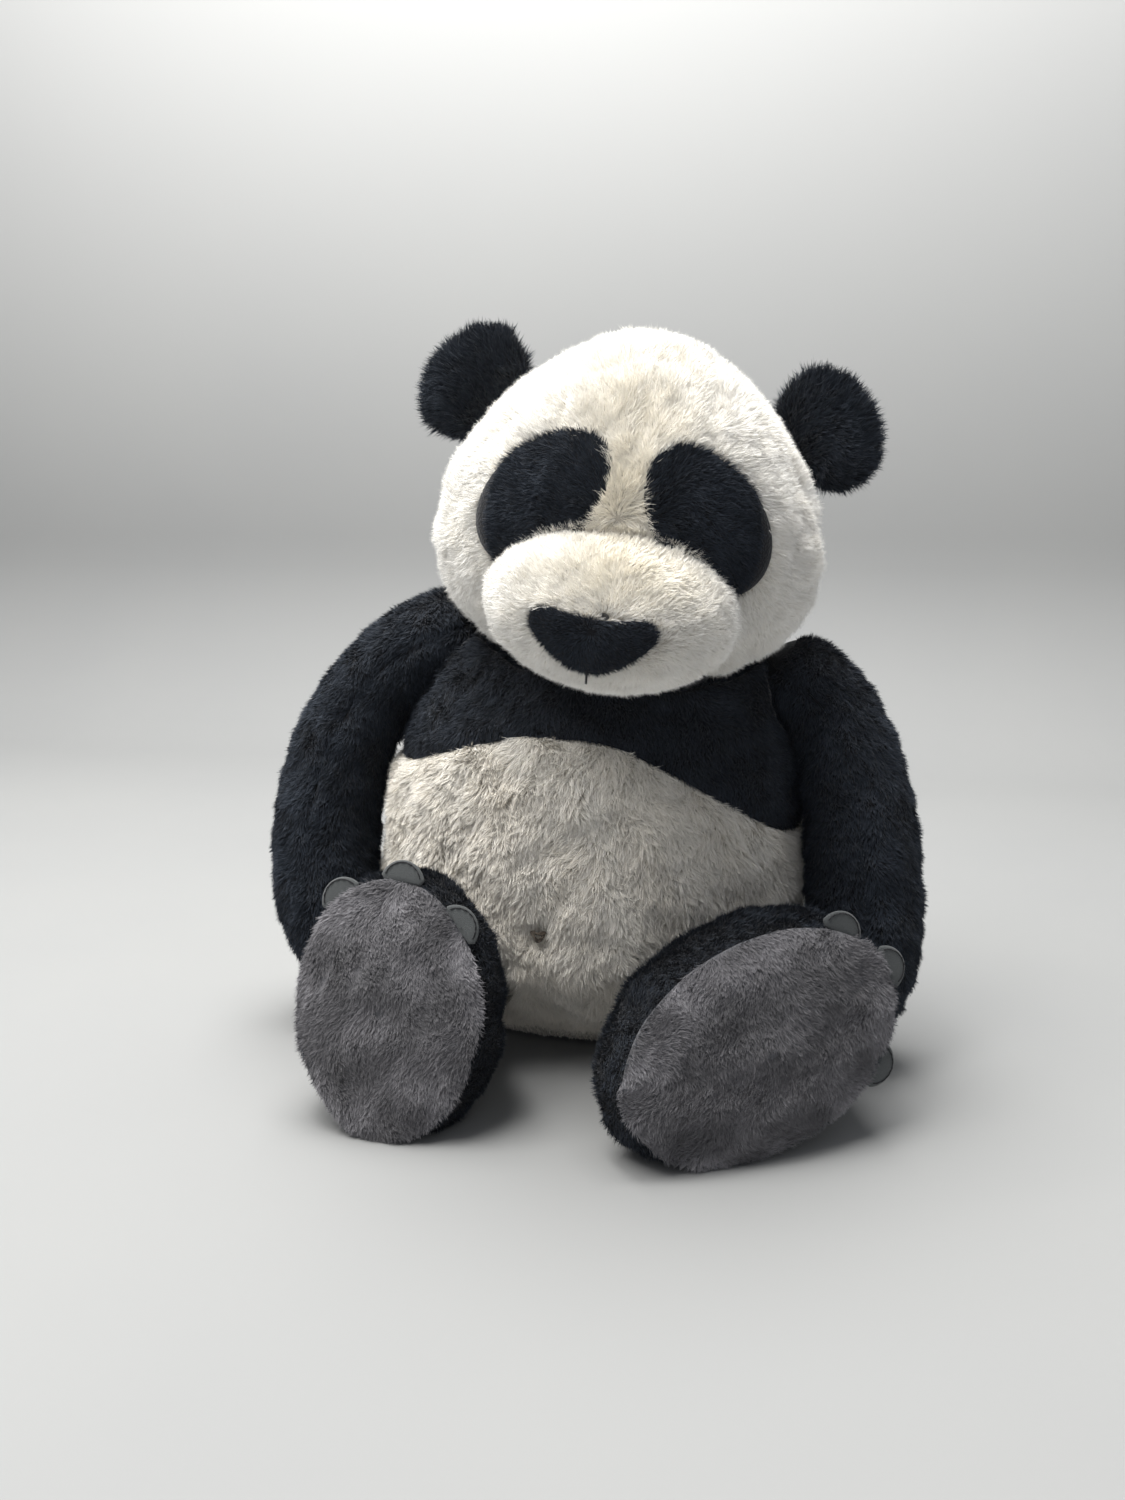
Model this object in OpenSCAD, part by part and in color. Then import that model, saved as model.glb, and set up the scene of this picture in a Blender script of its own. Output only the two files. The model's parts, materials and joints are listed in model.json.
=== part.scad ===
// Sitting plush panda: sewn skins over stuffing, with limbs, head and ears that flop at their seams.
// Millimetres, +Z up, the face looks along -Y, and the seat rests on z = 0.

/* [Torso] */
// Half width of the torso at the belly
torso_a = 147; // [135:1:150]
// Depth of the belly in front of the torso's centre line
belly_depth = 118; // [105:1:122]
// Depth of the back behind the torso's centre line
back_depth = 100; // [90:1:108]
// Height at which the torso is widest
waist_z = 110; // [100:1:118]
// Height of the torso's rounded top above its widest level
torso_rise = 200; // [190:1:205]
// Sideways lean of the chest over the seat
lean = 25.5; // [0:0.5:30]
// Roll of the shoulders towards the right-hand side, in degrees
shoulder_roll = 8.5; // [0:0.5:10]
// Height of the black yoke's seam at the flanks
seam_z = 173.5; // [165:0.5:180]
// Rise of that seam in the middle of the chest
seam_rise = 48; // [20:1:56]

/* [Head] */
// Half width of the head
head_a = 116; // [112:1:118]
// Half depth of the head
head_b = 112; // [106:1:114]
// Half height of the head
head_c = 105; // [102:1:107]
// Roll of the head towards the right-hand side, in degrees
head_roll = 8; // [0:0.5:10]
// Turn of the head towards the right-hand side, in degrees
head_yaw = 5; // [0:0.5:8]
// Half width of the muzzle
muzzle_a = 72; // [66:1:74]
// Half height of the muzzle
muzzle_c = 47; // [44:1:48]
// Reach of the muzzle in front of its centre
muzzle_reach = 62; // [56:1:64]
// Width of an ear
ear_w = 74; // [64:1:76]
// Height of an ear above its base seam
ear_h = 55; // [50:1:58]

/* [Limbs] */
// Radius of the arm at the shoulder
arm_root_r = 31; // [29:0.5:32]
// Extra radius of the arm at the hand
arm_flare = 7; // [4:0.5:8]
// Radius of the leg at the hip
leg_root_r = 38; // [36:0.5:39]
// Half width of a sole
sole_a = 57; // [52:1:58]
// Half length of a sole
sole_b = 75; // [72:1:77]
// Bulge of the foot beyond the sole's seam
foot_bulge = 6; // [3:0.5:7]
// Outward roll of the left foot, in degrees
left_foot_roll = 3; // [0:1:8]
// Outward roll of the right foot, in degrees
right_foot_roll = 69; // [60:1:72]

/* [Cloth] */
// Thickness of the plush skins
skin = 3.5; // [2.5:0.5:4]

/* [Hidden] */

black = "#15171c";
white = "#ece7dc";
grey = "#77767c";
felt = "#5c5f60";
batting = "#dddde2";
pellet = "#c9b48a";
thread = "#6b5238";

gap = 0.4;            // air between neighbouring skins
loft = 4.4;           // air between a skin and its stuffing, for the flats of both
arm_loft = 2.8;       // the same in the arms and legs
play = 2;             // air that a limb keeps from the torso as it moves
slit = 0.25;          // half of the seam gap between two panels, in degrees
frame_shift = [7.0, 11.1, 0];   // puts the origin under the middle of the bounding box
torso_y = 45;         // the torso's centre line stands this far behind the head's
seat_x = -8;          // and this far to the left
head_at = [26, 0, 354];
neck_at = [24, 12, 268];
neck_r = 58;          // radius of the ball on which the head nods
shoulder_left = [-105, 35, 272.5];
shoulder_right = [134, 32, 244];
hip_left = [-82, -56, 54];
hip_right = [72, -54, 52];
muzzle_at = [0, -84, -55];
eye_at = [45.5, -0.5];
eye_size = [44.5, 30];
eye_slant = 48;
nose_at = [-5, -63];
nose_w = 34;          // half width of the nose
jowl = 0.25;          // the head is wider below its middle by this share
ear_turn = 35;        // elevation at which the ears point
ear_y = 25;
ear_z = 48;           // height of the ears' base seam above the head's middle
ear_air = 2;          // the ear's lower edge stands this far off the head
toes_left = [-42, -6, 26];      // directions of the inner, middle and outer toe on each sole
toes_right = [-37, 3, 29];
spread = [1.16, 1.06];          // the right sole is pressed this much longer and wider
toe_r = 14;
toe_reach = 10;

function smooth(t) = let(c = min(1, max(0, t))) c * c * (3 - 2 * c);
function unit(v) = v / norm(v);
function mixed(a, b, t) = a + (b - a) * t;
function bezier(p, t) = pow(1 - t, 3) * p[0] + 3 * pow(1 - t, 2) * t * p[1]
    + 3 * (1 - t) * t * t * p[2] + pow(t, 3) * p[3];
function slope(p, t) = unit(bezier(p, min(1, t + 0.01)) - bezier(p, max(0, t - 0.01)));

// ---- solids from surfaces: f(s, t) runs up with s and anticlockwise with t ----

function grid(rows, cols, f) = [for (i = [0:rows], j = [0:cols]) f(i / rows, j / cols)];

// A panel: the closed shell between an outer and an inner surface.
module panel(rows, cols, outer, inner) {
    w = cols + 1;
    n = (rows + 1) * w;
    a = function (i, j) i * w + j;
    faces = [for (i = [0:rows - 1], j = [0:cols - 1])
        each [[a(i, j), a(i + 1, j), a(i + 1, j + 1)], [a(i, j), a(i + 1, j + 1), a(i, j + 1)],
            [n + a(i, j), n + a(i + 1, j + 1), n + a(i + 1, j)],
            [n + a(i, j), n + a(i, j + 1), n + a(i + 1, j + 1)]]];
    wall = function (p, q) [[q, p, n + p], [q, n + p, n + q]];
    sides = [for (i = [0:rows - 1]) each concat(wall(a(i, 0), a(i + 1, 0)),
        wall(a(i + 1, cols), a(i, cols)))];
    ends = [for (j = [0:cols - 1]) each concat(wall(a(0, j + 1), a(0, j)),
        wall(a(rows, j), a(rows, j + 1)))];
    polyhedron(concat(grid(rows, cols, outer), grid(rows, cols, inner)),
        concat(faces, sides, ends));
}

// A filling: the closed solid inside a surface that goes all the way round.
module filling(rows, cols, f) {
    points = [for (i = [0:rows], j = [0:cols - 1]) f(i / rows, j / cols)];
    a = function (i, j) i * cols + j % cols;
    faces = [for (i = [0:rows - 1], j = [0:cols - 1])
        each [[a(i, j), a(i + 1, j), a(i + 1, j + 1)], [a(i, j), a(i + 1, j + 1), a(i, j + 1)]]];
    caps = [for (j = [1:cols - 2]) each [[a(0, 0), a(0, j), a(0, j + 1)],
        [a(rows, 0), a(rows, j + 1), a(rows, j)]]];
    polyhedron(points, concat(faces, caps));
}

// A cup of the sphere of radius r about the origin, opening away from direction d.
module cup(r, thick, half_angle, d) {
    az = atan2(d[1], d[0]);
    tip = acos(d[2] / norm(d));
    rotate([0, tip, az]) rotate_extrude($fn = 64) intersection() {
        difference() {
            circle(r = r + thick, $fn = 96);
            circle(r = r, $fn = 96);
        }
        polygon([[0, 0], [2 * r * sin(half_angle), 2 * r * cos(half_angle)], [0, 4 * r]]);
    }
}

// ---- torso ----

belly_round = 0.77;   // exponent of the torso's rounded profile

function torso_cx(z) = seat_x + lean * pow(max(0, z) / 260, 3);
function power(v, p) = sign(v) * pow(abs(v), p);

// Height below which the head may come down on the shoulders, inset by d.
dish_at = [26, 14, 354];
dish_size = [131, 133, 117];
function dish(x, y, d) = let(
    e = pow((x - dish_at[0]) / dish_size[0], 2) + pow((y - dish_at[1]) / dish_size[1], 2))
    e < 1 ? dish_at[2] - dish_size[2] * sqrt(1 - e) - d : 1000;

// Point of the torso's skin: a is the angle from the front, p runs 0..180 from seat to neck.
function torso_point(a, p, d) = let(
    rise = cos(p) < 0 ? torso_rise : 125,
    z = waist_z - power(cos(p), belly_round) * (rise - d),
    r = pow(sin(p), belly_round),
    under = mixed(0.72, 1, smooth(z / 90)),
    depth = mixed(back_depth, belly_depth * under, (1 + cos(a)) / 2),
    x = (torso_a - d) * r * sin(a),
    y = torso_y - (depth - d) * r * cos(a),
    rolled = z - x * tan(shoulder_roll) * smooth(z / 150),
    gx = torso_cx(rolled) + x)
    [gx, y, max(d, min(rolled, dish(gx, y, d)))];

// Parameter p at which the unrolled torso reaches height z.
function torso_level(z) = let(rise = z > waist_z ? torso_rise : 125)
    acos(power((waist_z - z) / rise, 1 / belly_round));
function yoke_seam(a) = let(b = abs(a) > 180 ? 360 - abs(a) : abs(a))
    seam_z + seam_rise * (1 + cos(min(180, 2.4 * b))) / 2;

module torso_piece(a0, a1, low, high, rows = 7, cols = 10) {
    at = function (d) function (s, t) let(a = mixed(a0, a1, t))
        torso_point(a, mixed(low(a), high(a), s), d);
    difference() {
        panel(rows, cols, at(0), at(skin));
        limb_sockets();
        neck_socket();
    }
}

module neck_socket() translate(neck_at) sphere(r = neck_r + 0.2, $fn = 64);
module limb_sockets() {
    for (c = [shoulder_left, shoulder_right]) translate(c) sphere(r = arm_root_r + 3.2, $fn = 64);
    for (c = [hip_left, hip_right]) translate(c) sphere(r = leg_root_r + 3.2, $fn = 64);
    armpit(arm_left_path, -1);
    armpit(arm_right_path, 1);
    groin(leg_left_path, left_foot_roll, -1);
    groin(leg_right_path, -right_foot_roll, 1, spread);
}

// Room for a swinging arm: what its underside sweeps as it turns about a crosswise axis.
module armpit(path, side) {
    under = [for (t = [0.06:0.06:0.84]) let(
        c = bezier(path, t) - path[0],
        g = slope(path, t),
        r = arm_radii(t, 0)[0] + play + 1.4,
        w = norm([g[0], g[2]]))
        [norm([c[1], c[2] - side * g[0] / w * r]), side * c[0] + g[2] / w * r]];
    last = under[len(under) - 1];
    translate(path[0]) rotate([0, 90 * side, 0]) rotate_extrude($fn = 48)
        polygon(concat([[0, 0], [arm_root_r, 0]], under, [[last[0], 200], [0, 200]]));
}

// Room for a leg that is splayed and raised at its hip.
module groin(path, roll, side, wide = [1, 1]) for (splay = [-3, 0, 7, 15], up = [0, 12.5, 25])
    translate(path[0]) rotate([0, 0, side * splay]) rotate([-up, 0, 0]) translate(-path[0])
        hull() filling(9, 20, function (s, t) tube(path, 0.8 * s, 360 * t, leg_root_r + play,
            function (q) leg_radii(q, -play, wide), [0, 0, 1], roll));

hem = torso_level(13);
collar = 168;
module chest_panel() color(black) difference() {
    torso_piece(-90 + slit, 90 - slit, function (a) torso_level(yoke_seam(a)) + slit,
        function (a) collar);
    chin_room();
}
module chin_room() for (turn = [-20:5:20])
    translate(neck_at) rotate([0, 0, turn]) translate(-neck_at)
        on_head() hull() filling(10, 20, muzzle_block(3.4));
module back_yoke() color(black)
    torso_piece(90 + slit, 270 - slit, function (a) torso_level(yoke_seam(a)) + slit,
        function (a) collar);
module belly_panel() color(white)
    torso_piece(-90 + slit, 90 - slit, function (a) hem + slit,
        function (a) torso_level(yoke_seam(a)) - slit);
module back_panel() color(white)
    torso_piece(90 + slit, 270 - slit, function (a) hem + slit,
        function (a) torso_level(yoke_seam(a)) - slit);
module seat_panel() color(white) {
    at = function (d) function (s, t)
        torso_point(mixed(-180 + slit, 180 - slit, t), mixed(0.3, hem - slit, s), d);
    panel(4, 24, at(0), at(skin));
}
module torso_stuffing() color(batting) difference() {
    filling(14, 24, function (s, t) torso_point(360 * t, mixed(2, 178, s), skin + loft));
    limb_sockets();
    translate([0, torso_y, 30]) pellet_lens(62 + gap, 20 + gap);
    translate([0, torso_y, 0]) cylinder(r = 24, h = 30, $fn = 48);   // the way in for the bag
    neck_socket();
    neck_stem(gap);
}
module pellet_lens(r, h) rotate_extrude($fn = 64)
    polygon([for (i = [0:24]) [r * cos(i * 7.5 - 90), h * sin(i * 7.5 - 90)]]);
module seat_pellet_bag() color(pellet) translate([0, torso_y, 30]) pellet_lens(62, 20);
module closing_stitches() color(thread) for (i = [-3:3])
    translate(torso_point(180, torso_level(120 + 7 * i), -1.2)) rotate([0, 90, 0])
        cylinder(r = 0.8, h = 9, center = true, $fn = 16);
module navel_stitch() color(thread)
    translate(torso_point(-6, torso_level(92), -1.6)) rotate([90, 0, 0])
        cylinder(r = 3, h = 2, center = true, $fn = 24);

// ---- neck ----

module neck_stem(grow = 0) translate(neck_at - [0, 0, 80 + grow])
    cylinder(r = 22 + grow, h = 60 + grow, $fn = 64);
module neck_stuffing() color(batting) union() {
    translate(neck_at) sphere(r = neck_r - 4, $fn = 64);
    neck_stem();
}
module neck_gusset() color(black) translate(neck_at) cup(neck_r - 3.4, 2.8, 104, [0, 0, 1]);

// ---- head ----

module on_head() translate(head_at) rotate([0, head_roll, head_yaw]) children();

// Point of the head's skin: u turns from the face over the crown, v runs from ear to ear.
function head_point(u, v, d) = let(c = cos(v))
    [(head_a - d) * sin(v) * (1 - jowl * sin(u) * c), -(head_b - d) * c * cos(u),
        (head_c - d) * c * sin(u)];

module head_panel(u0, u1, v0, v1, rows, cols) color(white) on_head() {
    at = function (d) function (s, t) head_point(mixed(u0, u1, s), mixed(v0, v1, t), d);
    difference() {
        panel(rows, cols, at(0), at(skin));
        head_socket();
    }
}
module head_socket() rotate([0, 0, -head_yaw]) rotate([0, -head_roll, 0])
    translate(neck_at - head_at) sphere(r = neck_r + 0.6, $fn = 64);

strip = 23;           // half width of the forehead gusset, in degrees
pole = 89.2;          // the side panels meet this far round, in degrees
module forehead_gusset() head_panel(-28, 240, -strip, strip, 16, 4);
module cheek_left() head_panel(-88, 88, -pole, -strip - slit, 11, 6);
module cheek_right() head_panel(-88, 88, strip + slit, pole, 11, 6);
module head_back_left() head_panel(88 + slit, 272 - slit, -pole, -strip - slit, 11, 6);
module head_back_right() head_panel(88 + slit, 272 - slit, strip + slit, pole, 11, 6);
module head_stuffing() color(batting) on_head() difference() {
    filling(14, 24, function (s, t) head_point(360 * t, mixed(88, -88, s), skin + loft));
    head_socket();
}

// Depth of the face and of the muzzle in front of a point (x, z) of the head's own plane.
function face_y(x, z, d) = let(h = z / (head_c + d), w = x / (head_a + d) / (1 - jowl * h))
    -(head_b + d) * sqrt(max(0, 1 - w * w - h * h));
function muzzle_y(x, z, d) = muzzle_at[1] - (muzzle_reach + d) * sqrt(max(0,
    1 - pow(x / (muzzle_a + d), 2) - pow((z - muzzle_at[2]) / (muzzle_c + d), 2)));

// Rings of a thin patch: from its middle over the front face to the rim and back behind.
function patch_r(s) = 1 - 0.94 * abs(2 * s - 1);
function patch_d(s, front, back) = s < 0.5 ? back : front;
module eye_patch(side) color(black) on_head() difference() {
    filling(7, 20, function (s, t) let(
        r = patch_r(s),
        p = [eye_size[0] * r * cos(360 * t), eye_size[1] * r * sin(360 * t)],
        x = side * eye_at[0] + p[0] * cos(eye_slant) + side * p[1] * sin(eye_slant),
        z = eye_at[1] - side * p[0] * sin(eye_slant) + p[1] * cos(eye_slant))
        [x, face_y(x, z, patch_d(s, 3, gap)), z]);
    filling(10, 20, muzzle_block(1.8));
}
module eye_patch_left() eye_patch(-1);
module eye_patch_right() eye_patch(1);

// Surface of the muzzle from its tip to its rim, then down to the face and back to the middle.
function muzzle_point(s, t, d, back) = let(
    front = s <= 0.7,
    r = front ? sin(mixed(3, 90, s / 0.7)) : mixed(1, 0.05, max(0, s - 0.8) / 0.2),
    x = (muzzle_a + d) * r * cos(360 * t),
    z = muzzle_at[2] + (muzzle_c + d) * r * sin(360 * t))
    front ? [x, min(muzzle_y(x, z, d), face_y(x, z, 2 * gap)), z] : [x, face_y(x, z, back), z];
function muzzle_block(d) = function (s, t) muzzle_point(1 - s, t, d, -8);

module muzzle_piece(t0, t1, rows = 6, cols = 12) color(white) on_head() {
    at = function (d) function (s, t) let(q = mixed(t0, t1, t), r = mixed(1, 0.04, s))
        let(x = (muzzle_a + d) * sin(90 * r) * cos(q),
            z = muzzle_at[2] + (muzzle_c + d) * sin(90 * r) * sin(q))
        [x, s == 0 ? face_y(x, z, gap) : min(muzzle_y(x, z, d), face_y(x, z, gap)), z];
    difference() {
        panel(rows, cols, at(0), at(-skin));
        head_socket();
    }
}
module muzzle_top() muzzle_piece(0.4, 179.6);
module muzzle_chin() muzzle_piece(180.4, 359.6);
module muzzle_stuffing() color(batting) on_head() difference() {
    filling(10, 20, function (s, t) muzzle_point(1 - s, t, -skin - arm_loft, 1.2));
    head_socket();
}

// Edge of the nose at a share c of its half width: hollow above, round-cornered, pointed below.
function nose_edge(c, up) = let(k = sqrt(max(0, 1 - pow(c, 6))), m = max(0, 1 - c * c))
    up ? 10 * k - 4 * m * m : -7 * k - 17 * pow(m, 1.5);
module nose() color(black) on_head() filling(7, 24, function (s, t) let(
    r = patch_r(s), c = cos(360 * t),
    x = nose_at[0] + nose_w * r * c,
    z = nose_at[1] + r * nose_edge(c, t < 0.5))
    [x, muzzle_y(x, z, patch_d(s, 3.4, gap)), z]);
module mouth_stitch() color(thread) on_head()
    translate([nose_at[0], muzzle_y(nose_at[0], -90, 1.4), -90]) rotate([56, 0, 0])
        cylinder(r = 0.6, h = 8, center = true, $fn = 16);

// ---- ears ----

ear_axis_up = 9;      // the fold line runs this far above the ear's lower edge
module on_ear(side) on_head() {
    base = head_a * (1 - jowl * ear_z / head_c)
        * sqrt(1 - pow(ear_y / head_b, 2) - pow(ear_z / head_c, 2));
    translate([side * (base + ear_air * cos(ear_turn)), ear_y, ear_z + ear_air * sin(ear_turn)])
        rotate([0, side * (90 - ear_turn), 0]) children();
}
module ear_half(side, face) color(black) on_ear(side) {
    at = function (s, t) let(
        r = s < 0.5 ? mixed(0.05, 1, s / 0.5) : mixed(1, 0.05, (s - 0.5) / 0.5),
        a = 360 * t,
        x = ear_w / 2 * r * (sin(a) < 0 ? 0.97 * power(cos(a), 0.75) : cos(a)),
        z = ear_h / 2 * (1 + r * (sin(a) < 0 ? power(sin(a), 0.9) : sin(a))),
        y = s <= 0.5 ? 0.6 + 8 * (1 - pow(r, 2.4)) : 0.15)
        [x, face * y, z];
    filling(8, 20, face > 0 ? at : function (s, t) at(s, 1 - t));
}
module ear_left_front() ear_half(-1, -1);
module ear_left_back() ear_half(-1, 1);
module ear_right_front() ear_half(1, -1);
module ear_right_back() ear_half(1, 1);

// ---- limbs: tubes along a curve, with a round root that turns in its socket ----

arm_left_path = [shoulder_left, [-170, 35, 250], [-222, 22, 148], [-170, 4, 22]];
arm_right_path = [shoulder_right, [168, 30, 223], [187, 10, 133], [172, 0, 14]];
leg_left_path = [hip_left, [-86, -80, 58], [-93, -108, 65], [-95, -134, 72]];
leg_right_path = [hip_right, [82, -74, 54], [103, -98, 60], [118, -126, 64]];

// Frame across a path: n is the "up" direction squared to it and b completes it.
function across(path, t, up, roll) = let(
    g = slope(path, t), n = unit(up - (up * g) * g), b = cross(g, n))
    [n * cos(roll) + b * sin(roll), b * cos(roll) - n * sin(roll)];

// Tube point: the first rings are the ball at the root, the rest follow the path, and they
// crowd towards its end by the power crowd. Nothing of it comes below the height low.
root_rings = 0.3;
function tube(path, s, angle, root, radii, up, roll, crowd = 1, low = 0.01) = let(
    ball = s < root_rings,
    w = mixed(8, 90, s / root_rings),
    t = ball ? 0 : 1 - pow(1 - (s - root_rings) / (1 - root_rings), crowd),
    f = across(path, t, up, roll),
    c = bezier(path, t) - (ball ? slope(path, 0) * root * cos(w) : [0, 0, 0]),
    r = ball ? [root, root] * sin(w) : radii(t),
    p = c + f[0] * r[0] * cos(angle) + f[1] * r[1] * sin(angle))
    [p[0], p[1], max(low, p[2])];

function arm_radii(t, d) = let(
    r = (arm_root_r - d + arm_flare * smooth(t / 0.8)) * sqrt(1 - pow(max(0, (t - 0.76) / 0.2405), 2.2)))
    [r * 1.04, r];
module arm_piece(path, a0, a1) color(black) {
    at = function (d) function (s, t) tube(path, 0.997 * s, mixed(a0, a1, t), arm_root_r - d,
        function (q) arm_radii(q, d), [0, 1, 0], 0, 1.6);
    panel(13, 6, at(0), at(skin));
}
module arm_filling(path) color(batting)
    filling(13, 12, function (s, t) tube(path, 0.9 * s, 360 * t, arm_root_r - skin - arm_loft,
        function (q) arm_radii(min(1, q + 0.03), skin + arm_loft), [0, 1, 0], 0, 1.6));

module arm_left_outer() arm_piece(arm_left_path, 1, 179);
module arm_left_inner() arm_piece(arm_left_path, 181, 359);
module arm_left_stuffing() arm_filling(arm_left_path);
module arm_right_outer() arm_piece(arm_right_path, 181, 359);
module arm_right_inner() arm_piece(arm_right_path, 1, 179);
module arm_right_stuffing() arm_filling(arm_right_path);
module shoulder_left_gusset() color(black) translate(shoulder_left)
    cup(arm_root_r + 0.6, 2, 48, [1, 0, -0.1]);
module shoulder_right_gusset() color(black) translate(shoulder_right)
    cup(arm_root_r + 0.6, 2, 48, [-1, 0, -0.1]);

function leg_radii(t, d, wide) = let(
    k = smooth((t - 0.1) / 0.6), bulge = foot_bulge * sin(180 * min(1, max(0, (t - 0.35) / 0.65))))
    [mixed(leg_root_r, sole_b * wide[0], k) + bulge - d,
        mixed(leg_root_r, sole_a * wide[1], k) + bulge - d];
module leg_piece(path, roll, a0, a1, wide = [1, 1]) color(black) {
    at = function (d) function (s, t) tube(path, s, mixed(a0, a1, t), leg_root_r - d,
        function (q) leg_radii(q, d, wide), [0, 0, 1], roll, 1, 0.01 + d);
    panel(11, 8, at(0), at(skin));
}

dome = 11;            // height of the sole's cushion in front of its seam
// Point of the sole: r from the middle to the seam, pushed out along the leg's own direction.
function sole_point(path, roll, r, angle, d, wide) = let(
    f = across(path, 1, [0, 0, 1], roll),
    p = bezier(path, 1) + slope(path, 1) * (dome * (1 - pow(r, 2.6)) - d)
        + f[0] * sole_b * wide[0] * r * cos(angle) + f[1] * sole_a * wide[1] * r * sin(angle))
    [p[0], p[1], max(0.01, p[2])];
module leg_sole(path, roll, wide = [1, 1]) color(grey) {
    at = function (edge, tip, d) function (s, t)
        sole_point(path, roll, mixed(edge, tip, s), 0.5 + 359 * t, d, wide);
    panel(4, 24, at(0.985, 0.05, -1.6), at(0.93, 0.045, 0.8));
}
module leg_filling(path, roll, wide = [1, 1]) color(batting) difference() {
    filling(14, 16, function (s, t) s <= 0.75
        ? tube(path, s / 0.75, 360 * t, leg_root_r - skin - arm_loft,
            function (q) leg_radii(q, skin + arm_loft, wide), [0, 0, 1], roll, 1, skin + arm_loft)
        : sole_point(path, roll, mixed(0.91, 0.06, (s - 0.75) / 0.25), 360 * t, 3, wide));
    translate(bezier(path, 0.62)) sphere(r = 24 + gap, $fn = 48);
}
module toe(path, roll, angle, wide = [1, 1]) color(felt) {
    f = across(path, 1, [0, 0, 1], roll);
    g = slope(path, 1);
    b = sole_b * wide[0];
    a = sole_a * wide[1];
    reach = 1 / sqrt(pow(cos(angle) / b, 2) + pow(sin(angle) / a, 2)) + 0.6;
    at = bezier(path, 1) + (f[0] * cos(angle) + f[1] * sin(angle)) * reach + g * 0.8;
    n = unit(f[0] * cos(angle) * a + f[1] * sin(angle) * b);
    side = cross(n, g);
    multmatrix([[side[0], n[0], g[0], at[0]], [side[1], n[1], g[1], at[1]],
        [side[2], n[2], g[2], at[2]]])
        linear_extrude(1.8) intersection() {
            translate([0, toe_reach - toe_r]) circle(r = toe_r, $fn = 48);
            translate([-2 * toe_r, 0]) square([4 * toe_r, 2 * toe_r]);
        }
}
module leg_left_upper() leg_piece(leg_left_path, left_foot_roll, -89, 89);
module leg_left_lower() leg_piece(leg_left_path, left_foot_roll, 91, 269);
module leg_left_sole() leg_sole(leg_left_path, left_foot_roll);
module leg_left_stuffing() leg_filling(leg_left_path, left_foot_roll);
module leg_left_pellet_bag() color(pellet) translate(bezier(leg_left_path, 0.62))
    sphere(r = 24, $fn = 48);
module leg_left_toe_inner() toe(leg_left_path, left_foot_roll, toes_left[0]);
module leg_left_toe_middle() toe(leg_left_path, left_foot_roll, toes_left[1]);
module leg_left_toe_outer() toe(leg_left_path, left_foot_roll, toes_left[2]);
module leg_right_upper() leg_piece(leg_right_path, -right_foot_roll, -89, 89, spread);
module leg_right_lower() leg_piece(leg_right_path, -right_foot_roll, 91, 269, spread);
module leg_right_sole() leg_sole(leg_right_path, -right_foot_roll, spread);
module leg_right_stuffing() leg_filling(leg_right_path, -right_foot_roll, spread);
module leg_right_pellet_bag() color(pellet) translate(bezier(leg_right_path, 0.62))
    sphere(r = 24, $fn = 48);
module leg_right_toe_inner() toe(leg_right_path, -right_foot_roll, toes_right[0], spread);
module leg_right_toe_middle() toe(leg_right_path, -right_foot_roll, toes_right[1], spread);
module leg_right_toe_outer() toe(leg_right_path, -right_foot_roll, toes_right[2], spread);
module hip_left_gusset() color(black) translate(hip_left) cup(leg_root_r + 0.6, 2, 48, [0.1, 1, 0]);
module hip_right_gusset() color(black) translate(hip_right) cup(leg_root_r + 0.6, 2, 48, [-0.1, 1, 0]);

translate(frame_shift) {
    chest_panel();
    belly_panel();
    back_yoke();
    back_panel();
    seat_panel();
    torso_stuffing();
    seat_pellet_bag();
    closing_stitches();
    navel_stitch();
    neck_stuffing();
    neck_gusset();
    forehead_gusset();
    cheek_left();
    cheek_right();
    head_back_left();
    head_back_right();
    head_stuffing();
    eye_patch_left();
    eye_patch_right();
    muzzle_top();
    muzzle_chin();
    muzzle_stuffing();
    nose();
    mouth_stitch();
    ear_left_front();
    ear_left_back();
    ear_right_front();
    ear_right_back();
    shoulder_left_gusset();
    arm_left_outer();
    arm_left_inner();
    arm_left_stuffing();
    shoulder_right_gusset();
    arm_right_outer();
    arm_right_inner();
    arm_right_stuffing();
    hip_left_gusset();
    leg_left_upper();
    leg_left_lower();
    leg_left_sole();
    leg_left_stuffing();
    leg_left_pellet_bag();
    leg_left_toe_inner();
    leg_left_toe_middle();
    leg_left_toe_outer();
    hip_right_gusset();
    leg_right_upper();
    leg_right_lower();
    leg_right_sole();
    leg_right_stuffing();
    leg_right_pellet_bag();
    leg_right_toe_inner();
    leg_right_toe_middle();
    leg_right_toe_outer();
}
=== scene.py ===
"""Looks of the seated plush panda: sewn skins, pile, felt toes, thread and stuffing."""

from __future__ import annotations

import json
import logging
import math
from dataclasses import dataclass, field
from enum import Enum
from typing import Callable, Sequence

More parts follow.
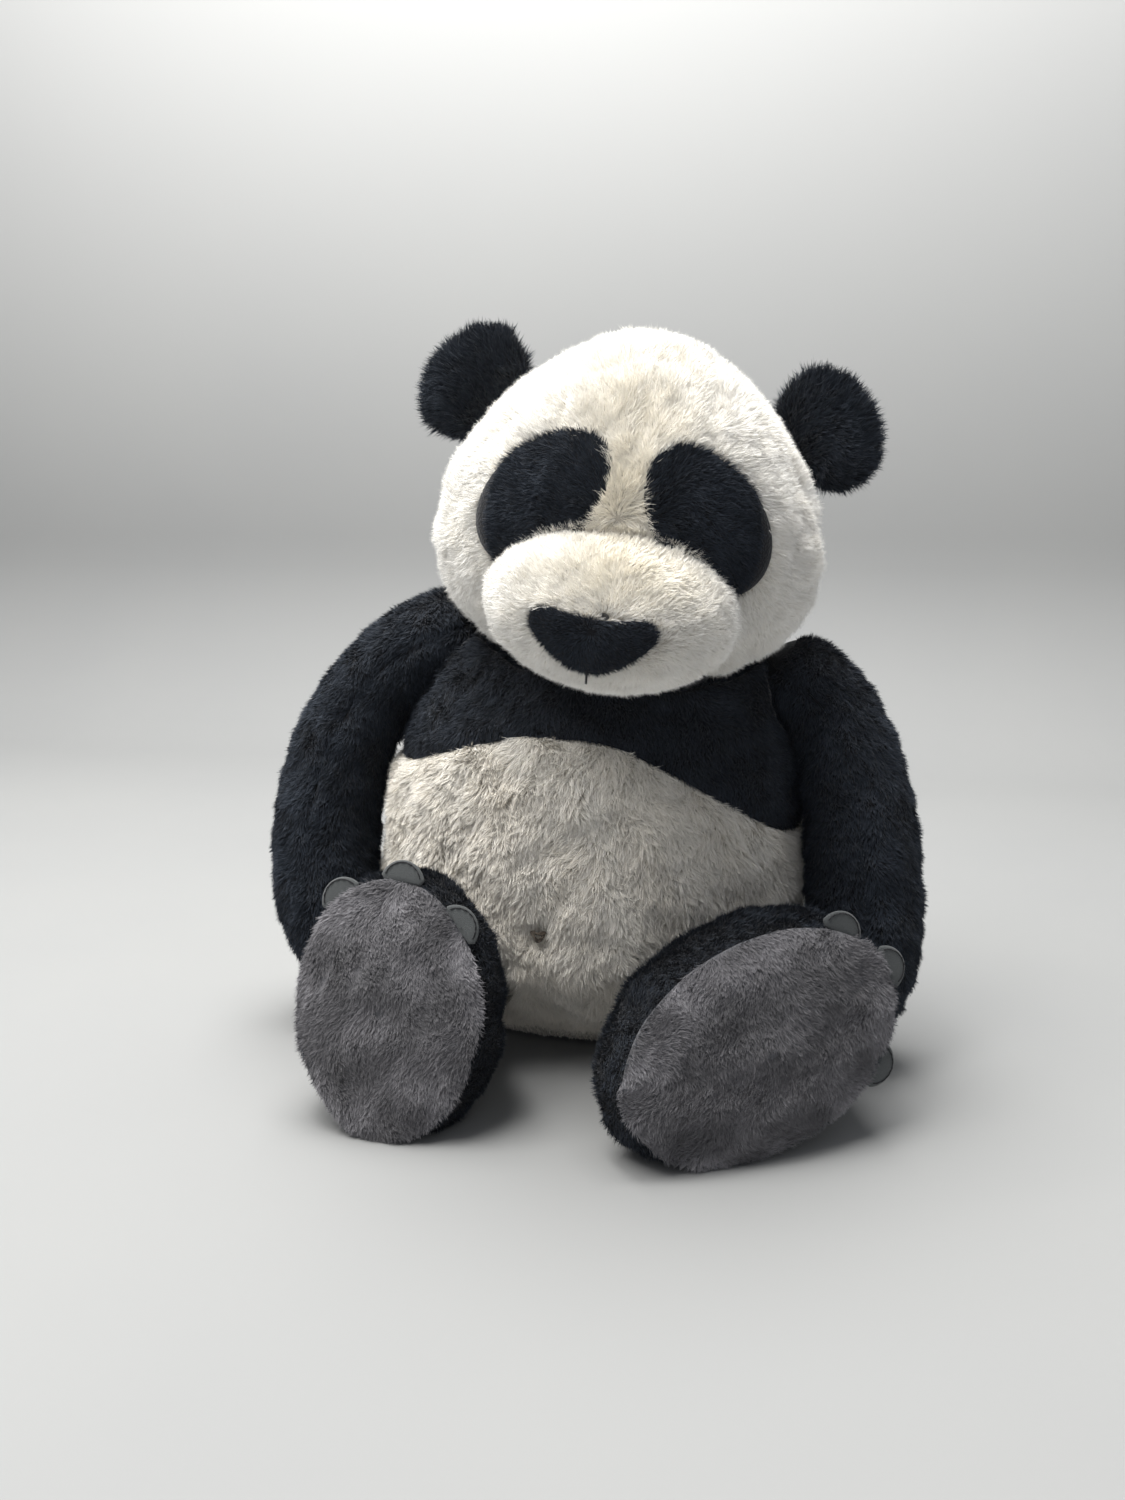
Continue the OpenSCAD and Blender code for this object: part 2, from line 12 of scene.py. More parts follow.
import bpy
import numpy as np
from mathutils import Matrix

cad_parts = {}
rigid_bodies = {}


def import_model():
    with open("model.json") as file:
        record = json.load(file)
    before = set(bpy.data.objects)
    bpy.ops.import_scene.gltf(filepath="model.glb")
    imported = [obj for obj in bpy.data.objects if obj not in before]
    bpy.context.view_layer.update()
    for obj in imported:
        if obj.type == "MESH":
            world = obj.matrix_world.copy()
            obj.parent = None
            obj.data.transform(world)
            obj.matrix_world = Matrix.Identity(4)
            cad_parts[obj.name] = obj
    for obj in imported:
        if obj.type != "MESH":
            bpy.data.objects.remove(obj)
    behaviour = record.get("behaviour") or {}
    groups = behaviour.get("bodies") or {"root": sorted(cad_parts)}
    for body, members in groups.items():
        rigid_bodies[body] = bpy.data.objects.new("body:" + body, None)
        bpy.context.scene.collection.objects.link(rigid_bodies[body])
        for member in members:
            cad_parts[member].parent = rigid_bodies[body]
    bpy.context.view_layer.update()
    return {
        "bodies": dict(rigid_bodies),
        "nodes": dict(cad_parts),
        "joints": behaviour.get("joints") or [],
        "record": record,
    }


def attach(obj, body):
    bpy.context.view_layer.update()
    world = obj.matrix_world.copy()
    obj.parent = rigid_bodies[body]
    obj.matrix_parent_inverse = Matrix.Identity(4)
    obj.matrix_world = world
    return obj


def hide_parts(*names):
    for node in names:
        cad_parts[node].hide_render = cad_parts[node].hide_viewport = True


LOG = logging.getLogger("panda")
Array = np.ndarray
Surface = Callable[[Array, Array], Array]
Field = Callable[[Array, Array], Array]
Measure = Callable[[Array], Array]

MM = 0.001
UP = np.array([0.0, 0.0, 1.0])
SEED = 41


# ---------------------------------------------------------------- numbers and shapes


def smooth(t: Array | float) -> Array:
    """Smooth step: 3 t^2 - 2 t^3 with t held between 0 and 1."""
    c = np.clip(t, 0.0, 1.0)
    return c * c * (3.0 - 2.0 * c)


def power(v: Array, p: float) -> Array:
    """Signed power: the size of v to the power p, with v's sign."""
    return np.sign(v) * np.abs(v) ** p


def mixed(a: Array | float, b: Array | float, t: Array | float) -> Array:
    """Straight mix of a and b, a at t = 0."""
    return a + (b - a) * t


def unit(v: Array) -> Array:
    """Vectors scaled to length one along the last axis."""
    return v / np.maximum(np.linalg.norm(v, axis=-1, keepdims=True), 1e-12)


def bump(x: Array, width: float) -> Array:
    """Bell curve: 1 in the middle and exp(-1) at x = width."""
    return np.exp(-((x / width) ** 2))


@dataclass(frozen=True)
class Ripple:
    """Smooth random field: the mean of sine waves of one rough wavelength in all directions."""

    wavelength: float
    seed: int
    waves: int = 14

    def __call__(self, p: Array) -> Array:
        """Height of the field.

        Args:
            p: points, (..., 3), in metres.

        Returns:
            Numbers of about -1 to 1: sum of sin(k . p + phase) over the root of half the waves.
        """
        rng = np.random.default_rng(self.seed)
        way = unit(rng.normal(size=(self.waves, 3)))
        k = way * (2 * math.pi / self.wavelength) * rng.uniform(0.6, 1.5, (self.waves, 1))
        phase = rng.uniform(0, 2 * math.pi, self.waves)
        total = np.sin(p @ k.T + phase).sum(axis=-1)
        return total / math.sqrt(self.waves * 1.6)


@dataclass(frozen=True)
class Bend:
    """Cubic curve through space with four control points."""

    points: tuple[tuple[float, float, float], ...]

    def at(self, t: Array) -> Array:
        """Points of the curve: the Bernstein sum of the four control points."""
        t = np.asarray(t, float)[..., None]
        a, b, c, d = (np.array(p) for p in self.points)
        return (1 - t) ** 3 * a + 3 * (1 - t) ** 2 * t * b + 3 * (1 - t) * t * t * c + t**3 * d

    def slope(self, t: Array) -> Array:
        """Unit direction of the curve, from points a hundredth either side."""
        t = np.asarray(t, float)
        return unit(self.at(np.minimum(1, t + 0.01)) - self.at(np.maximum(0, t - 0.01)))

    def across(self, t: Array, up: Array, roll: float) -> tuple[Array, Array]:
        """Two unit directions squared to the curve, turned by roll about it.

        Args:
            t: places along the curve, 0 to 1.
            up: direction that the first one leans to.
            roll: turn about the curve, in radians.

        Returns:
            The turned "up" direction and the one that completes it.
        """
        g = self.slope(t)
        n = unit(up - (g @ up)[..., None] * g)
        b = np.cross(g, n)
        c, s = math.cos(roll), math.sin(roll)
        return n * c + b * s, b * c - n * s


def grid(f: Surface, rows: int, cols: int) -> Array:
    """Points of a surface on an even grid of rows + 1 by cols + 1, as (rows + 1, cols + 1, 3)."""
    s, t = np.meshgrid(np.linspace(0, 1, rows + 1), np.linspace(0, 1, cols + 1), indexing="ij")
    return f(s, t)


def quads(rows: int, cols: int) -> Array:
    """Corner numbers of a grid's quads, wound to face out when s runs up and t anticlockwise."""
    i, j = np.meshgrid(np.arange(rows), np.arange(cols), indexing="ij")
    a = (i * (cols + 1) + j).ravel()
    return np.stack([a, a + 1, a + cols + 2, a + cols + 1], axis=1)


def border(rows: int, cols: int) -> Array:
    """Corner numbers round a grid's edge, in the order that its quads run."""
    w = cols + 1
    return np.concatenate([
        np.arange(cols),
        cols + w * np.arange(rows),
        rows * w + cols - np.arange(cols),
        w * (rows - np.arange(rows)),
    ])


def make_object(name: str, verts: Array, faces: Array, material: bpy.types.Material) -> bpy.types.Object:
    """Mesh object from arrays.

    Args:
        name: the piece's name.
        verts: points, (n, 3).
        faces: corner numbers, (m, 3) or (m, 4).
        material: the piece's finish.

    Returns:
        The linked object, at the origin, with smooth faces.
    """
    mesh = bpy.data.meshes.new(name)
    sides = faces.shape[1]
    mesh.vertices.add(len(verts))
    mesh.vertices.foreach_set("co", np.ascontiguousarray(verts, np.float32).ravel())
    mesh.loops.add(faces.size)
    mesh.loops.foreach_set("vertex_index", faces.astype(np.int32).ravel())
    mesh.polygons.add(len(faces))
    mesh.polygons.foreach_set("loop_start", np.arange(0, faces.size, sides, dtype=np.int32))
    mesh.polygons.foreach_set("use_smooth", np.ones(len(faces), bool))
    mesh.update(calc_edges=True)
    mesh.validate()
    mesh.materials.append(material)
    obj = bpy.data.objects.new(name, mesh)
    bpy.context.scene.collection.objects.link(obj)
    return obj


def shell(outer: Array, inner: Array) -> tuple[Array, Array]:
    """Closed wall between two grids of the same size.

    Args:
        outer: the outside points, (rows + 1, cols + 1, 3).
        inner: the inside points, the same shape.

    Returns:
        Points and quads: the outside, the inside turned round, and a strip along the edge.
    """
    rows, cols = outer.shape[0] - 1, outer.shape[1] - 1
    n = (rows + 1) * (cols + 1)
    out = quads(rows, cols)
    rim = border(rows, cols)
    nxt = np.roll(rim, -1)
    strip = np.stack([nxt, rim, rim + n, nxt + n], axis=1)
    faces = np.concatenate([out, out[:, ::-1] + n, strip])
    return np.concatenate([outer.reshape(-1, 3), inner.reshape(-1, 3)]), faces


def grid_normals(p: Array) -> Array:
    """Outward unit normals of a grid: the change along t crossed with the change along s."""
    return unit(np.cross(np.gradient(p, axis=1), np.gradient(p, axis=0)))


def facing(outer: Array, inner: Array) -> tuple[Array, Array]:
    """Both grids turned along t where the outer one's normals point to the inner one."""
    if ((outer - inner) * grid_normals(outer)).sum() < 0:
        return outer[:, ::-1], inner[:, ::-1]
    return outer, inner


# ---------------------------------------------------------------- finishes


class Nodes:
    """Short hand for building one node tree."""

    def __init__(self, tree: bpy.types.NodeTree) -> None:
        """Holds the tree and empties it."""
        self.tree = tree
        tree.nodes.clear()

    def add(self, kind: str, settings: dict | None = None, **inputs: object) -> bpy.types.Node:
        """Adds a node.

        Args:
            kind: the node's type name.
            settings: plain properties to set on it.
            **inputs: socket values, or sockets to link, by the socket's name with _ for a space.

        Returns:
            The node.
        """
        node = self.tree.nodes.new(kind)
        for key, value in (settings or {}).items():
            setattr(node, key, value)
        for key, value in inputs.items():
            socket = node.inputs[int(key[1:])] if key[1:].isdigit() else node.inputs[key.replace("_", " ")]
            if isinstance(value, bpy.types.NodeSocket):
                self.tree.links.new(value, socket)
            else:
                socket.default_value = value
        return node

    def math(self, how: str, a: object, b: object = 0.0) -> bpy.types.NodeSocket:
        """Result of one Math node."""
        return self.add("ShaderNodeMath", {"operation": how}, i0=a, i1=b).outputs[0]

    def blend(self, fac: object, a: object, b: object) -> bpy.types.NodeSocket:
        """Colour that runs from a to b as fac goes from 0 to 1."""
        node = self.add("ShaderNodeMix", {"data_type": "RGBA"}, i0=fac)
        for index, value in ((6, a), (7, b)):
            if isinstance(value, bpy.types.NodeSocket):
                self.tree.links.new(value, node.inputs[index])
            else:
                node.inputs[index].default_value = value
        return node.outputs[2]


def colour(r: float, g: float, b: float) -> tuple[float, float, float, float]:
    """Opaque linear colour."""
    return (r, g, b, 1.0)


def new_group(name: str, ins: Sequence[tuple[str, str]],
              outs: Sequence[tuple[str, str]]) -> bpy.types.NodeTree:
    """Empty shader group.

    Args:
        name: the group's name.
        ins: name and socket type of each input.
        outs: name and socket type of each output.

    Returns:
        The group's tree, with its sockets and no nodes.
    """
    tree = bpy.data.node_groups.new(name, "ShaderNodeTree")
    for title, kind in ins:
        tree.interface.new_socket(title, in_out="INPUT", socket_type=kind)
    for title, kind in outs:
        tree.interface.new_socket(title, in_out="OUTPUT", socket_type=kind)
    return tree


COLOR, FLOAT = "NodeSocketColor", "NodeSocketFloat"


def pile_tone_group() -> bpy.types.NodeTree:
    """Colour of a lock of pile: from root to tip, then mixed towards a second tip tone (on the soles partly
    a painted sheen at the rim), then lighter or darker by lock.
    """
    tree = new_group("PileTone", [("Root", COLOR), ("Tip", COLOR), ("Stain", COLOR), ("Spread", FLOAT)],
                     [("Color", COLOR), ("Roughness", FLOAT)])
    n = Nodes(tree)
    given = n.add("NodeGroupInput")
    along = n.add("ShaderNodeAttribute", {"attribute_name": "lock_along"}).outputs["Fac"]
    warm = n.add("ShaderNodeAttribute", {"attribute_name": "lock_warm"}).outputs["Fac"]
    light = n.add("ShaderNodeAttribute", {"attribute_name": "lock_light"}).outputs["Fac"]
    tip = n.blend(warm, given.outputs["Tip"], given.outputs["Stain"])
    body = n.blend(n.math("POWER", along, 0.6), given.outputs["Root"], tip)
    swing = n.math("MULTIPLY", n.math("SUBTRACT", light, 0.5), given.outputs["Spread"])
    level = n.math("ADD", swing, 1.0)
    scaled = n.add("ShaderNodeVectorMath", {"operation": "SCALE"}, i0=body, Scale=level)
    rough = n.math("ADD", n.math("MULTIPLY", light, -0.12), 0.92)
    n.add("NodeGroupOutput", Color=scaled.outputs[0], Roughness=rough)
    return tree


def cloth_group(name: str) -> tuple[Nodes, bpy.types.Node, bpy.types.NodeSocket]:
    """Group for a bare cloth, with its inputs' node and the place on the object."""
    tree = new_group(name, [("Light", COLOR), ("Dark", COLOR), ("Scale", FLOAT)],
                     [("Color", COLOR), ("Height", FLOAT)])
    n = Nodes(tree)
    return n, n.add("NodeGroupInput"), n.add("ShaderNodeTexCoord").outputs["Object"]


def backing_group() -> bpy.types.NodeTree:
    """Knitted backing under the pile: fine cells of two tones and their height."""
    n, given, place = cloth_group("Backing")
    cells = n.add("ShaderNodeTexVoronoi", Vector=place, Scale=given.outputs["Scale"]).outputs["Distance"]
    patchy = n.add("ShaderNodeTexNoise", Vector=place, Scale=40.0, Detail=5.0).outputs[0]
    tone = n.math("MULTIPLY", n.math("ADD", cells, patchy), 0.6)
    tint = n.blend(tone, given.outputs["Dark"], given.outputs["Light"])
    n.add("NodeGroupOutput", Color=tint, Height=cells)
    return n.tree


def fibre_group() -> bpy.types.NodeTree:
    """Matted fibres, as in felt and batting: stretched noise of two tones and its height."""
    n, given, place = cloth_group("Fibres")
    turned = n.add("ShaderNodeMapping", Vector=place, Rotation=(0.4, 0.3, 0.9), Scale=(1.0, 1.0, 3.2))
    fine = n.add("ShaderNodeTexNoise", Vector=turned.outputs[0], Scale=given.outputs["Scale"],
                 Detail=8.0, Distortion=1.6).outputs[0]
    broad = n.add("ShaderNodeTexNoise", Vector=place, Scale=60.0, Detail=3.0).outputs[0]
    tone = n.math("ADD", n.math("MULTIPLY", fine, 0.75), n.math("MULTIPLY", broad, 0.3))
    tint = n.blend(tone, given.outputs["Dark"], given.outputs["Light"])
    n.add("NodeGroupOutput", Color=tint, Height=fine)
    return n.tree


GROUPS: dict[str, bpy.types.NodeTree] = {}


def build_groups() -> None:
    """Builds each shared shader group once."""
    GROUPS["tone"] = pile_tone_group()
    GROUPS["backing"] = backing_group()
    GROUPS["fibres"] = fibre_group()


def new_material(name: str, sheen: float, sheen_rough: float,
                 specular: float) -> tuple[bpy.types.Material, Nodes, bpy.types.Node]:
    """Empty cloth material.

    Args:
        name: the material's name.
        sheen: how much light the fibre ends catch.
        sheen_rough: how wide that light spreads.
        specular: the specular level.

    Returns:
        The material, its nodes, and its Principled BSDF.
    """
    material = bpy.data.materials.new(name)
    material.use_nodes = True
    n = Nodes(material.node_tree)
    bsdf = n.add("ShaderNodeBsdfPrincipled", Roughness=0.9)
    bsdf.inputs["Sheen Weight"].default_value = sheen
    bsdf.inputs["Sheen Roughness"].default_value = sheen_rough
    bsdf.inputs["Specular IOR Level"].default_value = specular
    n.add("ShaderNodeOutputMaterial", Surface=bsdf.outputs[0])
    return material, n, bsdf


@dataclass(frozen=True)
class PileFinish:
    """Finish of locks of pile, which carry their own shade."""

    name: str
    root: tuple[float, float, float, float]
    tip: tuple[float, float, float, float]
    stain: tuple[float, float, float, float]
    spread: float
    sheen: float = 0.25
    specular: float = 0.25

    def build(self) -> bpy.types.Material:
        """Material that reads each lock's own shade through the PileTone group."""
        material, n, bsdf = new_material(self.name, self.sheen, 0.45, self.specular)
        tone = n.add("ShaderNodeGroup", {"node_tree": GROUPS["tone"]}, Root=self.root, Tip=self.tip,
                     Stain=self.stain, Spread=self.spread)
        n.tree.links.new(tone.outputs["Color"], bsdf.inputs["Base Color"])
        n.tree.links.new(tone.outputs["Roughness"], bsdf.inputs["Roughness"])
        return material


@dataclass(frozen=True)
class ClothFinish:
    """Finish of a bare cloth: two tones of a shared pattern, raised by its height."""

    name: str
    group: str
    light: tuple[float, float, float, float]
    dark: tuple[float, float, float, float]
    scale: float
    relief: float = 0.4
    sheen: float = 0.2

    def build(self) -> bpy.types.Material:
        """Material with the shared pattern as its colour and its bump."""
        material, n, bsdf = new_material(self.name, self.sheen, 0.5, 0.25)
        made = n.add("ShaderNodeGroup", {"node_tree": GROUPS[self.group]}, Light=self.light, Dark=self.dark,
                     Scale=self.scale)
        n.tree.links.new(made.outputs["Color"], bsdf.inputs["Base Color"])
        raised = n.add("ShaderNodeBump", Strength=self.relief, Distance=0.001, Height=made.outputs["Height"])
        n.tree.links.new(raised.outputs[0], bsdf.inputs["Normal"])
        return material


class Cloth(Enum):
    """The cloths that the panda is sewn from."""

    WHITE = "white"
    BODY = "body"
    BLACK = "black"
    GREY = "grey"

    @property
    def slot(self) -> str:
        """The record's material slot."""
        return f"{self.value}_plush"


PILES = {
    Cloth.WHITE: PileFinish("white_pile", colour(0.84, 0.80, 0.72), colour(0.98, 0.965, 0.93),
                            colour(0.95, 0.89, 0.75), 0.14),
    Cloth.BODY: PileFinish("body_pile", colour(0.74, 0.70, 0.62), colour(0.97, 0.945, 0.89),
                           colour(0.74, 0.68, 0.58), 0.30),
    Cloth.BLACK: PileFinish("black_pile", colour(0.006, 0.0075, 0.010), colour(0.030, 0.038, 0.052),
                            colour(0.044, 0.050, 0.062), 0.9, sheen=0.15, specular=0.25),
    # Grey pile: the third colour is a lighter grey, for combed nap and for the painted sheen on the soles'
    # rims.
    Cloth.GREY: PileFinish("grey_pile", colour(0.050, 0.049, 0.052), colour(0.145, 0.142, 0.150),
                           colour(0.38, 0.37, 0.39), 0.7, sheen=0.3),
}
BACKINGS = {
    Cloth.WHITE: ClothFinish("white_backing", "backing", colour(0.66, 0.62, 0.54),
                             colour(0.42, 0.38, 0.32), 900.0),
    Cloth.BODY: ClothFinish("body_backing", "backing", colour(0.55, 0.51, 0.44),
                            colour(0.36, 0.33, 0.28), 900.0),
    Cloth.BLACK: ClothFinish("black_backing", "backing", colour(0.008, 0.009, 0.012),
                             colour(0.003, 0.003, 0.005), 900.0),
    Cloth.GREY: ClothFinish("grey_backing", "backing", colour(0.12, 0.12, 0.13),
                            colour(0.06, 0.06, 0.066), 900.0),
}
FELT = ClothFinish("toe_felt", "fibres", colour(0.105, 0.112, 0.112), colour(0.05, 0.054, 0.056), 900.0, 0.6)
THREAD = ClothFinish("sewing_thread", "fibres", colour(0.16, 0.13, 0.10), colour(0.05, 0.04, 0.03), 1500.0)
DARK_THREAD = ClothFinish("dark_thread", "fibres", colour(0.02, 0.02, 0.022),
                          colour(0.006, 0.006, 0.008), 1500.0)
BATTING = ClothFinish("batting", "fibres", colour(0.86, 0.86, 0.88), colour(0.62, 0.62, 0.66), 220.0, 0.8)
PELLET_CLOTH = ClothFinish("pellet_cloth", "backing", colour(0.62, 0.54, 0.40),
                           colour(0.44, 0.37, 0.26), 700.0)


class Wardrobe:
    """All finishes, each built once."""

    def __init__(self) -> None:
        """Builds the groups and every material."""
        build_groups()
        self.pile = {cloth: finish.build() for cloth, finish in PILES.items()}
        self.backing = {cloth: finish.build() for cloth, finish in BACKINGS.items()}
        self.felt = FELT.build()
        self.thread = THREAD.build()
        self.dark_thread = DARK_THREAD.build()
        self.batting = BATTING.build()
        self.pellets = PELLET_CLOTH.build()


# ---------------------------------------------------------------- pile


@dataclass(frozen=True)
class Pile:
    """How a plush's pile grows: lengths in metres, locks per square metre."""

    length: float = 6.5 * MM
    width: float = 0.75 * MM
    density: float = 1.35e6
    lean: float = 0.62
    ruffle: float = 0.38
    clump: float = 0.42
    clump_size: float = 6.0 * MM
    swirl: float = 0.7


@dataclass(frozen=True)
class Coat:
    """One skin's pile: how it grows, where it lies to, where its tips take their second tone, which on the
    soles includes a painted sheen at the rim, and which roots stay.
    """

    pile: Pile
    nap: Field
    warm: Measure | None = None
    keep: Measure | None = None


LEVELS = 32
ASKEW = np.array([[0.36, 0.48, -0.80], [-0.80, 0.60, 0.0], [0.48, 0.64, 0.60]])
FLOOR_AIR = 0.4 * MM
ROOT_DEPTH = 0.4 * MM
MOST_LOCKS = 190000


def hashed(cell: Array, seed: int) -> Array:
    """Random numbers that belong to whole-number cells.

    Args:
        cell: whole numbers, (n, 3).
        seed: which set of numbers.

    Returns:
        Numbers of 0 to 1, (n, 3): the fraction of a large sine of each cell's weighted sum.
    """
    weights = np.array([[12.9898, 78.233, 37.719], [39.346, 11.135, 83.155], [73.156, 52.235, 9.151]])
    mixed_up = cell @ weights
    return np.modf(np.abs(np.sin(mixed_up + seed) * 43758.5453))[0]


@dataclass
class Pelt:
    """Pile grown on the outside of a skin."""

    name: str
    coat: Coat
    seed: int

    def scatter(self, points: Array, normals: Array, rng: np.random.Generator) -> tuple[Array, Array]:
        """Roots spread evenly over a grid of points by area.

        Args:
            points: the outside grid, (rows + 1, cols + 1, 3).
            normals: its unit normals.
            rng: the source of chance.

        Returns:
            Roots and their normals, each (n, 3).
        """
        flat, turned = points.reshape(-1, 3), normals.reshape(-1, 3)
        q = quads(points.shape[0] - 1, points.shape[1] - 1)
        tris = np.concatenate([q[:, [0, 1, 2]], q[:, [0, 2, 3]]])
        a, b, c = (flat[tris[:, k]] for k in range(3))
        area = np.linalg.norm(np.cross(b - a, c - a), axis=1) / 2
        total = area.sum()
        count = int(total * self.coat.pile.density)
        at = (np.arange(count) + rng.uniform(0, 1, count)) / count * total
        pick = np.minimum(np.searchsorted(np.cumsum(area), at), len(tris) - 1)
        u, v = np.sqrt(rng.uniform(0, 1, count)), rng.uniform(0, 1, count)
        weights = np.stack([1 - u, u * (1 - v), u * v], axis=1)[..., None]
        root = (flat[tris[pick]] * weights).sum(axis=1)
        return root, unit((turned[tris[pick]] * weights).sum(axis=1))

    def grow(self, points: Array, material: bpy.types.Material) -> list[bpy.types.Object]:
        """Makes the locks, in pieces of at most MOST_LOCKS.

        Each lock is one pointed leaf: it leaves its root leaning along the nap, its tip is drawn
        towards the middle of its clump, and it is turned about its length by chance. Its shade
        comes from its clump and from chance, in LEVELS steps each way, and its own map places
        each pair of steps in one cell with the root at the cell's lower edge.

        Args:
            points: the skin's outside grid.
            material: the pile's finish.

        Returns:
            The pieces.
        """
        coat, p = self.coat, self.coat.pile
        rng = np.random.default_rng(self.seed)
        root, normal = self.scatter(points, grid_normals(points), rng)
        if coat.keep is not None:
            chosen = coat.keep(root)
            root, normal = root[chosen], normal[chosen]
        count = len(root)
        nap = coat.nap(root, normal)
        turn = p.swirl * Ripple(0.035, self.seed + 1)(root) + rng.normal(0, p.ruffle, count)
        nap = unit(nap - (nap * normal).sum(1)[:, None] * normal)
        side = np.cross(normal, nap)
        nap = nap * np.cos(turn)[:, None] + side * np.sin(turn)[:, None]
        lean = p.lean + 0.15 * Ripple(0.012, self.seed + 2)(root) + rng.normal(0, 0.10, count)
        lean = np.clip(lean, 0.1, 0.95)
        length = p.length * rng.uniform(0.70, 1.18, count) * (1 + 0.12 * Ripple(0.02, self.seed + 3)(root))
        way = unit(normal * (1 - lean)[:, None] + nap * lean[:, None])
        tip = root + length[:, None] * way
        size = p.clump_size
        warp = np.stack([Ripple(2.6 * size, self.seed + k)(tip) for k in (5, 6, 7)], -1) * 0.75 * size
        askew = (tip + warp) @ ASKEW
        cell = np.floor(askew / size)
        centre = ((cell + 0.15 + 0.7 * hashed(cell, self.seed)) * size) @ ASKEW.T - warp
        pull = centre - tip
        pull -= (pull * normal).sum(1)[:, None] * normal
        tip = tip + p.clump * rng.uniform(0.5, 1.2, count)[:, None] * pull
        wide = unit(np.cross(way, normal) + 0.5 * rng.normal(size=(count, 3)))
        width = p.width * rng.uniform(0.6, 1.3, count)[:, None] / 2
        root = root - ROOT_DEPTH * normal
        verts = np.stack([root - wide * width, root + wide * width, tip], axis=1)
        verts[..., 2] = np.maximum(verts[..., 2], FLOOR_AIR)
        flip = (np.cross(verts[:, 1] - verts[:, 0], verts[:, 2] - verts[:, 0]) * normal).sum(1) < 0
        verts[flip] = verts[flip][:, [1, 0, 2]]
        light = 0.5 + 0.30 * (hashed(cell, self.seed + 9)[:, 0] - 0.5)
        light = light + 0.14 * Ripple(0.03, self.seed + 4)(root)
        light = np.clip(light + rng.normal(0, 0.12, count), 0, 1)
        warm = np.zeros(count) if coat.warm is None else coat.warm(root)
        warm = np.clip(warm + rng.normal(0, 0.06, count), 0, 1)
        share = max(1, math.ceil(count / MOST_LOCKS))
        made = []
        for k, part in enumerate(np.array_split(np.arange(count), share)):
            faces = np.arange(3 * len(part)).reshape(-1, 3)
            title = self.name if share == 1 else f"{self.name}_{k + 1}"
            obj = make_object(title, verts[part].reshape(-1, 3), faces, material)
            self.shade(obj, warm[part], light[part])
            made.append(obj)
        return made

    def shade(self, obj: bpy.types.Object, warm: Array, light: Array) -> None:
        """Writes each lock's shade and its cell of the map.

        Args:
            obj: the piece.
            warm: share of the second tip tone, which on the soles includes a painted rim sheen, 0 to 1, one
                a lock.
            light: lightness, 0 to 1, one a lock.
        """
        mesh = obj.data
        i, j = (np.minimum((x * LEVELS).astype(int), LEVELS - 1) for x in (warm, light))
        along = np.tile(np.array([0.0, 0.0, 1.0], np.float32), len(warm))
        for title, values in (("lock_along", along),
                              ("lock_warm", np.repeat((i + 0.5) / LEVELS, 3)),
                              ("lock_light", np.repeat((j + 0.5) / LEVELS, 3))):
            made = mesh.attributes.new(title, "FLOAT", "POINT")
            made.data.foreach_set("value", values.astype(np.float32))
        u = (np.repeat(i, 3) + np.tile([0.2, 0.8, 0.5], len(i))) / LEVELS
        v = (np.repeat(j, 3) + np.tile([0.12, 0.12, 0.88], len(j))) / LEVELS
        layer = mesh.uv_layers.new(name="OFBake", do_init=False)
        layer.uv.foreach_set("vector", np.stack([u, v], 1).astype(np.float32).ravel())


# ---------------------------------------------------------------- pieces


